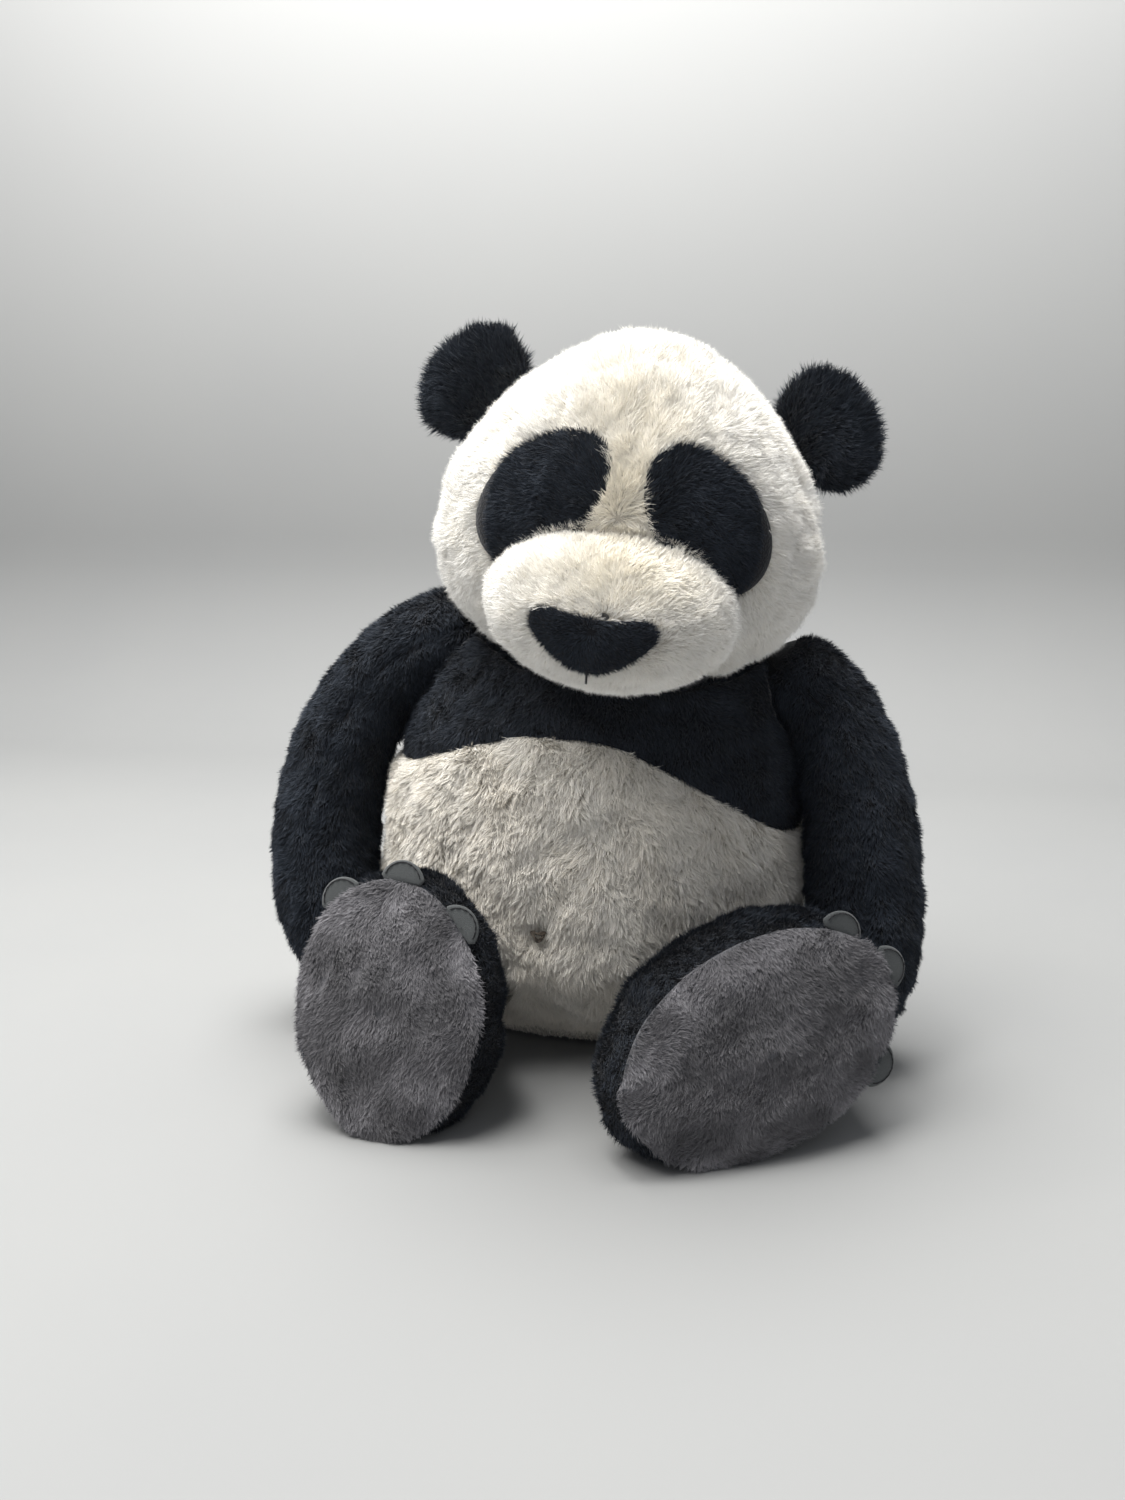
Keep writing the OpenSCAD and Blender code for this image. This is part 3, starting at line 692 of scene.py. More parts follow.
@dataclass
class Tailor:
    """Sews pieces to the frame: makes each skin with its pile and puts it on its body."""

    wardrobe: Wardrobe
    count: int = 0

    def seed(self) -> int:
        """A new seed for each piece, in the order that they are made."""
        self.count += 1
        return SEED + 17 * self.count

    def place(self, obj: bpy.types.Object, body: str, node: str, slot: str, hide: bool = True) -> None:
        """Puts a piece on its body.

        Args:
            obj: the piece.
            body: the body that it rides on.
            node: the CAD node that it is the look of.
            slot: the record's material slot; not used.
            hide: whether the piece stands in for the node.
        """
        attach(obj, body)
        if hide:
            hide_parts(node)
        LOG.info("%s on %s, %d faces", obj.name, body, len(obj.data.polygons))

    def fur(self, node: str, body: str, cloth: Cloth, points: Array, coat: Coat) -> None:
        """Grows the pile of a node's skin on a grid of its outside."""
        for piece in Pelt(node + "_pile", coat, self.seed()).grow(points, self.wardrobe.pile[cloth]):
            self.place(piece, body, node, cloth.slot, hide=False)

    def sew(self, node: str, body: str, cloth: Cloth, outer: Surface, inner: Surface,
            cells: tuple[int, int], coat: Coat) -> None:
        """Makes one plush panel: a closed skin and the pile that grows on it.

        Args:
            node: the CAD node that it is the look of.
            body: the body that it rides on.
            cloth: which cloth it is cut from.
            outer: the outside surface.
            inner: the inside surface.
            cells: grid steps along s and t.
            coat: its pile.
        """
        outside, inside = facing(grid(outer, *cells), grid(inner, *cells))
        skin = make_object(node + "_skin", *shell(outside, inside), self.wardrobe.backing[cloth])
        self.place(skin, body, node, cloth.slot)
        self.fur(node, body, cloth, outside, coat)

    def lay(self, node: str, body: str, cloth: Cloth, front: Surface, behind: Surface,
            cells: tuple[int, int], coat: Coat, fine: tuple[int, int] | None = None) -> None:
        """Makes one round plush patch: a closed skin and the pile on its front.

        Args:
            node: the CAD node that it is the look of.
            body: the body that it rides on.
            cloth: which cloth it is cut from.
            front: the front, from r, 0 to 1, and an angle.
            behind: the same for the back.
            cells: rings and corners of the skin.
            coat: its pile.
            fine: rings and corners that the pile grows on, where they differ.
        """
        skin = make_object(node + "_skin", *patch(front, behind, *cells), self.wardrobe.backing[cloth])
        self.place(skin, body, node, cloth.slot)
        steps = fine or cells
        self.fur(node, body, cloth, facing(disc(front, *steps), disc(behind, *steps))[0], coat)

    def stuff(self, node: str, body: str, surface: Surface, rows: int, cols: int, fill: float) -> None:
        """Makes the batting inside a part: a closed lumpy form.

        Args:
            node: the CAD node that it is the look of.
            body: the body that it rides on.
            surface: closed surface, once round in t, pole to pole in s.
            rows: grid steps along s.
            cols: grid steps along t.
            fill: how tightly it is stuffed; not used.
        """
        s, t = np.meshgrid(np.linspace(0, 1, rows + 1), np.arange(cols) / cols, indexing="ij")
        points = surface(s, t)
        middle = points.mean(axis=(0, 1))
        lumps = 1.0 - LUMP * (1.0 + Ripple(0.02, self.seed())(points))[..., None]
        points = middle + (points - middle) * lumps
        points[..., 2] = np.maximum(points[..., 2], 4 * FLOOR_AIR)
        obj = make_object(node + "_batting", *closed(points), self.wardrobe.batting)
        self.place(obj, body, node, "batting")

    def finish_node(self, node: str, material: bpy.types.Material) -> None:
        """Gives a CAD node that stays its finish."""
        data = bpy.data.objects[node].data
        data.materials.clear()
        data.materials.append(material)

    def strand(self, name: str, node: str, body: str, slot: str, points: Array, radius: float,
               material: bpy.types.Material) -> None:
        """Makes one two-ply thread along points.

        Args:
            name: the piece's name.
            node: the CAD node that it is the look of.
            body: the body that it rides on.
            slot: the record's material slot.
            points: the thread's middle, (n, 3), in metres.
            radius: half its thickness.
            material: its finish.
        """
        self.place(make_object(name, *twisted(points, radius), material), body, node, slot)


LUMP = 0.012


def closed(points: Array) -> tuple[Array, Array]:
    """Closed skin from rings: neighbouring rings joined by triangles, and a fan over each end ring.

    Args:
        points: rings from one pole to the other, (rows + 1, cols, 3).

    Returns:
        Points with one more at the middle of each end ring, and triangles.
    """
    rows, cols = points.shape[0] - 1, points.shape[1]
    i, j = np.meshgrid(np.arange(rows), np.arange(cols), indexing="ij")
    a, b = i * cols + j, i * cols + (j + 1) % cols
    sides = np.concatenate([np.stack([a, b, b + cols], -1).reshape(-1, 3),
                            np.stack([a, b + cols, a + cols], -1).reshape(-1, 3)])
    n = (rows + 1) * cols
    ring = np.arange(cols)
    nxt = (ring + 1) % cols
    low = np.stack([np.full(cols, n), nxt, ring], 1)
    top = np.stack([np.full(cols, n + 1), rows * cols + ring, rows * cols + nxt], 1)
    ends = np.stack([points[0].mean(axis=0), points[-1].mean(axis=0)])
    verts, faces = np.concatenate([points.reshape(-1, 3), ends]), np.concatenate([sides, low, top])
    p, q, r = (verts[faces[:, k]] - points.mean(axis=(0, 1)) for k in range(3))
    if (p * np.cross(q, r)).sum() < 0:
        faces = faces[:, ::-1]
    return verts, faces


def twisted(points: Array, radius: float, turns: float = 3.0, sides: int = 8) -> tuple[Array, Array]:
    """Two-ply thread: two round plies wound about a line.

    Args:
        points: the line, (n, 3).
        radius: half the thread's thickness.
        turns: how often each ply goes round.
        sides: corners of a ply's section.

    Returns:
        Points and triangles of both plies.
    """
    n = len(points)
    way = unit(np.gradient(points, axis=0))
    across = unit(np.cross(way, np.array([0.31, 0.17, 0.93])))
    other = np.cross(way, across)
    verts, faces = [], []
    for ply in (0.0, math.pi):
        w = ply + turns * 2 * math.pi * np.linspace(0, 1, n)[:, None]
        middle = points + 0.5 * radius * (across * np.cos(w) + other * np.sin(w))
        v = np.arange(sides) * 2 * math.pi / sides
        ring = (middle[:, None] + 0.55 * radius * (across[:, None] * np.cos(v)[:, None]
                                                   + other[:, None] * np.sin(v)[:, None]))
        got, tri = closed(ring)
        faces.append(tri + sum(len(x) for x in verts))
        verts.append(got)
    return np.concatenate(verts), np.concatenate(faces)


# ---------------------------------------------------------------- where things stand


def joint_at(frame: dict, name: str) -> Array:
    """A joint's place at rest, in millimetres."""
    return 1000.0 * np.array(next(j for j in frame["joints"] if j["name"] == name)["pos_m"], float)


@dataclass
class Pattern:
    """The maker's own axes: the frame's, moved so that the neck's ball has its pattern place."""

    neck: Array
    shoulders: dict[str, Array]
    hips: dict[str, Array]
    shift: Array

    @staticmethod
    def read(frame: dict) -> Pattern:
        """Pattern from the frame's joints."""
        neck = np.array([24.0, 12.0, 268.0])
        shift = joint_at(frame, "head_turn") - neck
        sides = ("left", "right")
        return Pattern(neck, {s: joint_at(frame, f"shoulder_{s}_swing") - shift for s in sides},
                       {s: joint_at(frame, f"hip_{s}_splay") - shift for s in sides}, shift)

    def world(self, p: Array) -> Array:
        """Metres in the frame from millimetres on the pattern."""
        return (p + self.shift) * MM

    def local(self, p: Array) -> Array:
        """Millimetres on the pattern from metres in the frame."""
        return p / MM - self.shift


def about_y(a: float) -> Array:
    """Rotation by a radians about the Y axis."""
    return np.array([[math.cos(a), 0, math.sin(a)], [0, 1, 0], [-math.sin(a), 0, math.cos(a)]])


def dent(p: Array, centre: Array, radius: float, inward: Array) -> Array:
    """Pushes points that lie in a ball on to its far side, so that they form its socket.

    Args:
        p: points, (..., 3).
        centre: the ball's middle.
        radius: its radius.
        inward: unit direction that the points move in.

    Returns:
        Moved points: each goes along inward by the ball's depth there, where it lies in the ball.
    """
    v = p - centre
    h = v @ inward
    depth = np.sqrt(np.maximum(radius**2 - np.maximum((v * v).sum(-1) - h * h, 0), 0))
    return p + np.where((v * v).sum(-1) < radius**2, depth - h, 0)[..., None] * inward


def valley(x: Array, span: float, depth: float = 2.4, width: float = 5.0) -> Array:
    """Sink of a skin beside a seam at x = 0 and x = 1, where the panel is span millimetres long."""
    return depth * (bump(x * span, width) + bump((1 - x) * span, width))


def disc(f: Surface, rows: int, cols: int, low: float = 0.05) -> Array:
    """Grid of a round patch from its rim in to its middle, once round with the first column again."""
    return grid(lambda s, t: f(mixed(1.0, low, s), 2 * math.pi * t), rows, cols)


def patch(front: Surface, back: Surface, rows: int, cols: int) -> tuple[Array, Array]:
    """Closed round patch.

    Args:
        front: points of the front from r, 0 to 1, and an angle.
        back: the same for the back.
        rows: rings on each face.
        cols: corners of a ring.

    Returns:
        Points and triangles.
    """
    rings = [disc(front, rows, cols)[::-1, :-1], disc(back, rows, cols)[:, :-1]]
    return closed(np.concatenate(rings))


# ---------------------------------------------------------------- torso


@dataclass(frozen=True)
class Fold:
    """One drag fold of the belly, over x and z from the navel in millimetres.

    Its sink is depth times a bell across the line z + slope x + curve x^2 + level = 0, and it
    fades in from x = start and out to x = end.
    """

    depth: float
    width: float
    slope: float
    level: float
    start: float
    fade_in: float
    end: float
    fade_out: float
    curve: float = 0.0

    def sink(self, x: Array, z: Array) -> Array:
        """Sink of the skin at (x, z)."""
        across = bump(z + self.slope * x + self.level + self.curve * x**2, self.width)
        return self.depth * across * smooth((x - self.start) / self.fade_in) * smooth(
            (self.end - x) / self.fade_out)


FOLDS = (Fold(3.4, 7.0, 0.62, 50.0, -100.0, 60.0, 60.0, 70.0, 0.0016),
         Fold(3.0, 8.0, -0.75, 66.0, 5.0, 40.0, 115.0, 50.0),
         Fold(2.6, 8.0, -0.55, -52.0, -125.0, 50.0, 65.0, 50.0))


@dataclass
class Torso:
    """Pear-shaped body: yoke, chest, belly, back and seat, in millimetres and degrees."""

    tailor: Tailor
    pattern: Pattern
    half_width: float = 147.0
    belly: float = 118.0
    back: float = 100.0
    waist: float = 110.0
    rise: float = 200.0
    sink: float = 125.0
    middle_y: float = 45.0
    seat_x: float = -8.0
    lean: float = 25.5
    roll: float = 8.5
    roundness: float = 0.77
    seam_z: float = 173.5
    seam_rise: float = 48.0
    skin: float = 3.5
    collar: float = 168.0
    hem_z: float = 13.0
    head_room: tuple[float, ...] = (26.0, 14.0, 354.0, 131.0, 133.0, 117.0)
    navel: tuple[float, float] = (-6.0, 93.0)
    pile_room: float = 3.0
    navel_depth: float = 9.0
    shoulder_room: float = 33.5
    hip_room: float = 40.5
    neck_room: float = 58.0
    bare_ring: float = 2.0

    def dish(self, x: Array, y: Array, d: Array | float) -> Array:
        """Height under the head's hollow: the underside of an ellipsoid, and far above outside it."""
        cx, cy, cz, a, b, c = self.head_room
        e = ((x - cx) / a) ** 2 + ((y - cy) / b) ** 2
        return np.where(e < 1, cz - c * np.sqrt(np.maximum(0, 1 - e)) - d, 1000.0)

    def point(self, a: Array, p: Array, d: Array | float) -> Array:
        """Point of the torso.

        A superellipse on its side: the height goes with cos(p) to the power 0.77 and the girth
        with sin(p) to the same. The chest leans with the height's cube and rolls to one side, and
        the belly draws in below 90 mm.

        Args:
            a: angle from the front towards +X, in degrees.
            p: 0 at the seat's middle to 180 at the neck.
            d: depth under the skin's outside.

        Returns:
            Points on the pattern, in millimetres.
        """
        a, p = np.radians(a), np.radians(p)
        rise = np.where(np.cos(p) < 0, self.rise, self.sink)
        z = self.waist - power(np.cos(p), self.roundness) * (rise - d)
        r = np.maximum(np.sin(p), 0) ** self.roundness
        under = mixed(0.72, 1.0, smooth(z / 90))
        depth = mixed(self.back, self.belly * under, (1 + np.cos(a)) / 2)
        x = (self.half_width - d) * r * np.sin(a)
        y = self.middle_y - (depth - d) * r * np.cos(a)
        rolled = z - x * math.tan(math.radians(self.roll)) * smooth(z / 150)
        gx = self.seat_x + self.lean * (np.maximum(0, rolled) / 260) ** 3 + x
        return np.stack([gx, y, np.maximum(np.maximum(d, 0.5), np.minimum(rolled, self.dish(gx, y, d)))], -1)

    def level(self, z: Array | float) -> Array:
        """Parameter p at which the unrolled torso reaches height z."""
        rise = np.where(np.asarray(z) > self.waist, self.rise, self.sink)
        return np.degrees(np.arccos(power((self.waist - z) / rise, 1 / self.roundness)))

    def seam(self, a: Array) -> Array:
        """Height of the yoke's seam: a cosine arch over the middle of the chest."""
        b = np.where(np.abs(a) > 180, 360 - np.abs(a), np.abs(a))
        return self.seam_z + self.seam_rise * (1 + np.cos(np.radians(np.minimum(180, 2.4 * b)))) / 2

    def relief(self, a: Array, p: Array) -> Array:
        """Sink of the skin: the navel's dimple, drag folds that run to it, and slack ripples."""
        q = self.point(a, p, 0.0)
        n = self.point(np.array(self.navel[0]), self.level(self.navel[1]), 0.0)
        v = q - n
        far = np.linalg.norm(v, axis=-1)
        front = smooth((0.35 + np.cos(np.radians(a))) / 0.8)
        dimple = self.navel_depth * bump(far, 11.0) + 5.0 * bump(far, 30.0)
        turn = np.arctan2(v[..., 2], v[..., 0])
        rays = 1.9 * np.sin(5 * turn + 0.8 + 0.02 * far) * smooth((far - 14) / 30) * np.exp(-far / 75)
        folds = sum(fold.sink(v[..., 0], v[..., 2]) for fold in FOLDS)
        slack = 1.6 * Ripple(48.0, 3)(q) + 0.8 * Ripple(20.0, 4)(q)
        return front * (dimple + rays + folds) + slack * smooth(q[..., 2] / 40)

    def surface(self, a0: float, a1: float, low: Measure, high: Measure, d: float) -> Surface:
        """One panel's skin at depth d, sunk along its seams, dented by the limbs and the neck."""
        def at(s: Array, t: Array) -> Array:
            a = mixed(a0, a1, t)
            p0, p1 = low(a), high(a)
            p = mixed(p0, p1, s)
            tuck = valley(s, 190.0) + valley(t, 300.0)
            q = self.point(a, p, self.pile_room + d + tuck + self.relief(a, p))
            for side, c in self.pattern.shoulders.items():
                q = dent(q, c, self.shoulder_room + d, np.array([1.0 if side == "left" else -1.0, 0.0, 0.0]))
            for c in self.pattern.hips.values():
                q = dent(q, c, self.hip_room + d, np.array([0.0, 1.0, 0.0]))
            return self.pattern.world(q)
        return at

    def warm(self, root: Array) -> Array:
        """Share of the darker tip tone in the pile: darker towards the seat and in broad patches."""
        z = self.pattern.local(root)[..., 2]
        return 0.25 + 0.35 * smooth((120 - z) / 120) + 0.16 * Ripple(0.06, 12)(root)

    def keep(self, root: Array) -> Array:
        """Roots that no limb and no head covers."""
        q = self.pattern.local(root)
        clear = np.linalg.norm(q - self.pattern.neck, axis=1) > self.neck_room
        for centres, room in ((self.pattern.shoulders, self.shoulder_room),
                              (self.pattern.hips, self.hip_room)):
            for c in centres.values():
                clear &= np.linalg.norm(q - c, axis=1) > room + self.bare_ring
        return clear

    def build(self) -> None:
        """Sews the torso's panels, stuffs it and adds its threads."""
        wardrobe = self.tailor.wardrobe
        down = lambda root, normal: np.tile(np.array([0.12, 0.0, -1.0]), (len(root), 1))
        seam_low = lambda a: self.level(self.seam(a)) - 0.3
        seam_high = lambda a: self.level(self.seam(a)) + 0.3
        top = lambda a: np.full_like(a, self.collar)
        hem = lambda a: np.full_like(a, float(self.level(self.hem_z)))
        middle = lambda a: np.full_like(a, 0.6)
        body_front = Pile(length=7.0 * MM, density=3.1e6, width=0.75 * MM, clump=0.55, clump_size=7.0 * MM)
        body_back = Pile(length=7.0 * MM, density=2.2e6, width=0.85 * MM, clump=0.55, clump_size=7.0 * MM)
        black = Pile(length=5.0 * MM, density=1.8e6, width=0.8 * MM, clump=0.35, clump_size=4.0 * MM)
        seat = Pile(length=2.0 * MM, density=0.6e6, width=0.9 * MM)
        panels = [
            ("chest_panel", Cloth.BLACK, -90, 90, seam_high, top, black),
            ("back_yoke", Cloth.BLACK, 90, 270, seam_high, top, black),
            ("belly_panel", Cloth.BODY, -90, 90, hem, seam_low, body_front),
            ("back_panel", Cloth.BODY, 90, 270, hem, seam_low, body_back),
            ("seat_panel", Cloth.BODY, -180, 180, middle, hem, seat),
        ]
        for node, cloth, a0, a1, low, high, pile in panels:
            self.tailor.sew(node, "torso", cloth, self.surface(a0, a1, low, high, 0.0),
                            self.surface(a0, a1, low, high, self.skin), (64, 80),
                            Coat(pile, down, self.warm, self.keep))
        def stuffing(s: Array, t: Array) -> Array:
            return self.pattern.world(self.point(360 * t, mixed(3, 165, s), self.skin + 12.0))
        self.tailor.stuff("torso_stuffing", "torso", stuffing, 36, 60, 0.7)
        self.tailor.finish_node("seat_pellet_bag", wardrobe.pellets)
        self.tailor.finish_node("neck_stuffing", wardrobe.batting)
        self.stitches()

    def stitches(self) -> None:
        """Ladder stitches up the closed back seam and the knot in the navel."""
        steps = np.linspace(-1, 1, 61)
        z = 120 + 21 * steps
        run = self.point(np.full(61, 180.0), self.level(z), 1.0)
        run[:, 0] += 3.2 * np.sign(np.sin(steps * 7 * math.pi)) * np.abs(np.sin(steps * 7 * math.pi)) ** 0.4
        self.tailor.strand("closing_thread", "closing_stitches", "torso", "thread", self.pattern.world(run),
                           0.8 * MM, self.tailor.wardrobe.thread)
        w = np.linspace(0, 2 * math.pi, 60)
        middle = self.point(np.array(self.navel[0]), self.level(self.navel[1]), 8.0)
        knot = middle + np.stack([3.6 * np.sin(w) + 1.2 * np.sin(2 * w), -1.0 * np.cos(3 * w),
                                  3.0 * np.cos(w) - 1.2 * np.cos(2 * w)], -1)
        self.tailor.strand("navel_knot", "navel_stitch", "torso", "thread", self.pattern.world(knot),
                           1.3 * MM, self.tailor.wardrobe.thread)


# ---------------------------------------------------------------- head


@dataclass
class Head:
    """Round head with a domed muzzle, in millimetres and degrees on its own upright axes."""

    tailor: Tailor
    pattern: Pattern
    at: tuple[float, ...] = (26.0, 0.0, 354.0)
    half_width: float = 116.0
    half_depth: float = 112.0
    half_height: float = 105.0
    jowl: float = 0.25
    roll: float = 8.0
    yaw: float = 5.0
    skin: float = 3.5
    strip: float = 23.0
    muzzle_at: tuple[float, ...] = (0.0, -84.0, -55.0)
    muzzle: tuple[float, ...] = (72.0, 62.0, 47.0)
    eye_at: tuple[float, float] = (45.5, -0.5)
    eye_size: tuple[float, float] = (44.5, 30.0)
    eye_slant: float = 48.0
    nose_at: tuple[float, float] = (-5.0, -63.0)
    nose_half: float = 34.0
    pile_room: float = 3.0
    muzzle_room: float = 2.5
    neck_room: float = 61.0
    pole: float = 89.4

    def turn(self) -> Array:
        """Rotation from the head's axes to the pattern's: the roll about Y, then the yaw about Z."""
        r, y = math.radians(self.roll), math.radians(self.yaw)
        about_z = np.array([[math.cos(y), -math.sin(y), 0], [math.sin(y), math.cos(y), 0], [0, 0, 1]])
        return about_z @ about_y(r)

    def world(self, p: Array) -> Array:
        """Metres in the frame from millimetres on the head."""
        return self.pattern.world(p @ self.turn().T + np.array(self.at))

    def local(self, p: Array) -> Array:
        """Millimetres on the head from metres in the frame."""
        return (self.pattern.local(p) - np.array(self.at)) @ self.turn()

    def point(self, u: Array, v: Array, d: Array | float) -> Array:
        """Point of the head: an ellipsoid, wider below its middle, u over the crown and v across."""
        u, v = np.radians(u), np.radians(v)
        c = np.cos(v)
        return np.stack([(self.half_width - d) * np.sin(v) * (1 - self.jowl * np.sin(u) * c),
                         -(self.half_depth - d) * c * np.cos(u), (self.half_height - d) * c * np.sin(u)], -1)

    def face_y(self, x: Array, z: Array, d: Array | float) -> Array:
        """Depth of the face in front of (x, z), d in front of the skin."""
        h = z / (self.half_height + d)
        w = x / (self.half_width + d) / (1 - self.jowl * h)
        return -(self.half_depth + d) * np.sqrt(np.maximum(0, 1 - w * w - h * h))

    def muzzle_y(self, x: Array, z: Array, d: Array | float) -> Array:
        """Depth of the muzzle's half ellipsoid in front of (x, z)."""
        a, reach, c = self.muzzle
        e = (x / (a + d)) ** 2 + ((z - self.muzzle_at[2]) / (c + d)) ** 2
        return self.muzzle_at[1] - (reach + d) * np.sqrt(np.maximum(0, 1 - e))

    def relief(self, q: Array) -> Array:
        """Sink of the skin: a crease over the bridge, a fold beside the muzzle, and ripples."""
        x, y, z = q[..., 0], q[..., 1], q[..., 2]
        front = smooth(-y / 40)
        crease = 2.6 * bump(x - 4 - 0.15 * (z - 50), 5.0) * bump(z - 52, 24.0)
        cheek = 3.2 * bump(x - 82 + 0.35 * (z + 62), 7.0) * bump(z + 62, 26.0)
        return front * (crease + cheek) + 1.3 * Ripple(45.0, 7)(q) + 0.6 * Ripple(18.0, 8)(q)

    def surface(self, u: tuple[float, float], v: tuple[float, float], d: float) -> Surface:
        """One panel's skin at depth d, sunk along its seams and dented by the neck's ball."""
        def at(s: Array, t: Array) -> Array:
            uu, vv = mixed(u[0], u[1], s), mixed(v[0], v[1], t)
            tuck = valley(t, 120.0, 1.8, 4.0)
            q = self.point(uu, vv, self.pile_room + d + tuck + self.relief(self.point(uu, vv, 0.0)))
            ball = (self.pattern.neck - np.array(self.at)) @ self.turn()
            return self.world(dent(q, ball, 60.0 + d, UP))
        return at

    def in_eye(self, x: Array, z: Array, grow: float) -> Array:
        """Whether (x, z) lies in an eye patch that is grown by a share of its size."""
        side = np.sign(x)
        a = math.radians(self.eye_slant)
        dx, dz = side * x - self.eye_at[0], z - self.eye_at[1]
        p, q = dx * math.cos(a) - dz * math.sin(a), dx * math.sin(a) + dz * math.cos(a)
        return (p / self.eye_size[0]) ** 2 + (q / self.eye_size[1]) ** 2 < grow**2

    def keep(self, root: Array) -> Array:
        """Roots of the white pile that no patch, muzzle, ear or neck covers."""
        q = self.local(root)
        x, y, z = q.T
        front = y < 0
        a, _, c = self.muzzle
        under = (x / a) ** 2 + ((z - self.muzzle_at[2]) / c) ** 2 < 0.93
        neck = np.linalg.norm(self.pattern.local(root) - self.pattern.neck, axis=1) < self.neck_room
        return ~(front & (self.in_eye(x, z, 0.97) | under)) & ~neck

    def keep_eye(self, root: Array) -> Array:
        """Roots of an eye patch that the muzzle doesn't cover."""
        x, y, z = self.local(root).T
        return y < self.muzzle_y(x, z, -0.5)

    def keep_muzzle(self, root: Array) -> Array:
        """Roots of the muzzle's pile outside the nose."""
        x, _, z = self.local(root).T
        c, h = (x - self.nose_at[0]) / self.nose_half, z - self.nose_at[1]
        low, top = self.nose_edge(c, np.zeros_like(c)), self.nose_edge(c, np.ones_like(c))
        return (np.abs(c) > 0.97) | (h < 0.93 * low) | (h > 0.93 * top)

    def nose_edge(self, c: Array, up: Array) -> Array:
        """Edge of the nose at a share c of its half width, hollow above and pointed below.

        Args:
            c: share of the half width, -1 to 1.
            up: above zero for the upper edge.

        Returns:
            Heights over the nose's middle: 10 k - 4 m^2 above and -7 k - 17 m^1.5 below, where
            k is the root of 1 - c^6 and m is 1 - c^2.
        """
        k, m = np.sqrt(np.maximum(0, 1 - c**6)), np.maximum(0, 1 - c * c)
        return np.where(up > 0, 10 * k - 4 * m * m, -7 * k - 17 * m**1.5)

    def warm(self, root: Array) -> Array:
        """Cream stain: over the forehead's middle, the bridge and the top of the muzzle."""
        x, y, z = self.local(root).T
        forehead = 0.45 * bump(x + 4, 42.0) * bump(z - 52, 48.0)
        bridge = 0.55 * bump(x, 20.0) * bump(z - 5, 32.0)
        snout = 0.60 * bump(x - 6, 46.0) * bump(z + 34, 20.0)
        return np.where(y < 0, forehead + bridge + snout, 0.15) + 0.10 * Ripple(0.05, 21)(root)

    def nap(self, root: Array, normal: Array) -> Array:
        """The pile is stroked away from the bridge, and downwards at the sides."""
        q = self.local(root) - np.array([0.0, -120.0, -10.0])
        return unit(unit(q) + np.array([0.0, 0.2, -0.35])) @ self.turn().T

    def nap_muzzle(self, root: Array, normal: Array) -> Array:
        """The muzzle's pile is stroked away from the nose."""
        q = self.local(root) - np.array([self.nose_at[0], -140.0, self.nose_at[1]])
        return unit(q * np.array([1.0, 0.6, 1.0])) @ self.turn().T

    def muzzle_surface(self, t0: float, t1: float, d: float) -> Surface:
        """Half of the muzzle's skin from its rim to its middle, d outside the CAD's surface."""
        def at(s: Array, t: Array) -> Array:
            q, r = np.radians(mixed(t0, t1, t)), mixed(1.0, 0.03, s)
            girth = np.sin(r * math.pi / 2)
            x = (self.muzzle[0] + d) * girth * np.cos(q)
            z = self.muzzle_at[2] + (self.muzzle[2] + d) * girth * np.sin(q)
            rim = self.face_y(x, z, -2.0)
            y = np.where(s <= 0, rim, np.minimum(self.muzzle_y(x, z, d), rim))
            y = y + Ripple(30.0, 9)(np.stack([x, y, z], -1)) * (s > 0)
            return self.world(np.stack([x, y, z], -1))
        return at

    def eye_surface(self, side: int, d: float) -> Surface:
        """Eye patch from r and an angle: a slanted ellipse laid d in front of the face."""
        def at(r: Array, w: Array) -> Array:
            a = math.radians(self.eye_slant)
            p = self.eye_size[0] * r * np.cos(w)
            q = self.eye_size[1] * r * np.sin(w) * (1 + 0.10 * np.cos(w))
            x = side * self.eye_at[0] + p * math.cos(a) * side + side * q * math.sin(a)
            z = self.eye_at[1] - p * math.sin(a) + q * math.cos(a)
            y = self.face_y(x, z, d)
            return self.world(np.stack([x, y, z], -1))
        return at

    def nose_surface(self, d: float) -> Surface:
        """Nose from r and an angle: a wide oval with a hollow top and a pointed foot."""
        def at(r: Array, w: Array) -> Array:
            c = np.cos(w)
            x = self.nose_at[0] + self.nose_half * r * c
            z = self.nose_at[1] + r * self.nose_edge(c, np.sin(w))
            return self.world(np.stack([x, self.muzzle_y(x, z, d * (1 - 0.6 * r**5)), z], -1))
        return at

    def patches(self) -> None:
        """Sews the eye patches and the nose, with their own short pile."""
        tailor = self.tailor
        short = Pile(length=4.5 * MM, density=2.6e6, width=0.7 * MM, clump=0.35, clump_size=4.0 * MM)
        nose_pile = Pile(length=3.2 * MM, density=3.4e6, width=0.6 * MM, clump=0.3, clump_size=3.0 * MM)
        eye = Coat(short, self.nap, keep=self.keep_eye)
        for node, side in (("eye_patch_left", -1), ("eye_patch_right", 1)):
            tailor.lay(node, "head", Cloth.BLACK, self.eye_surface(side, -1.2), self.eye_surface(side, -4.0),
                       (12, 40), eye)
        tailor.lay("nose", "head", Cloth.BLACK, self.nose_surface(1.4), self.nose_surface(-2.4), (12, 40),
                   Coat(nose_pile, self.nap_muzzle))

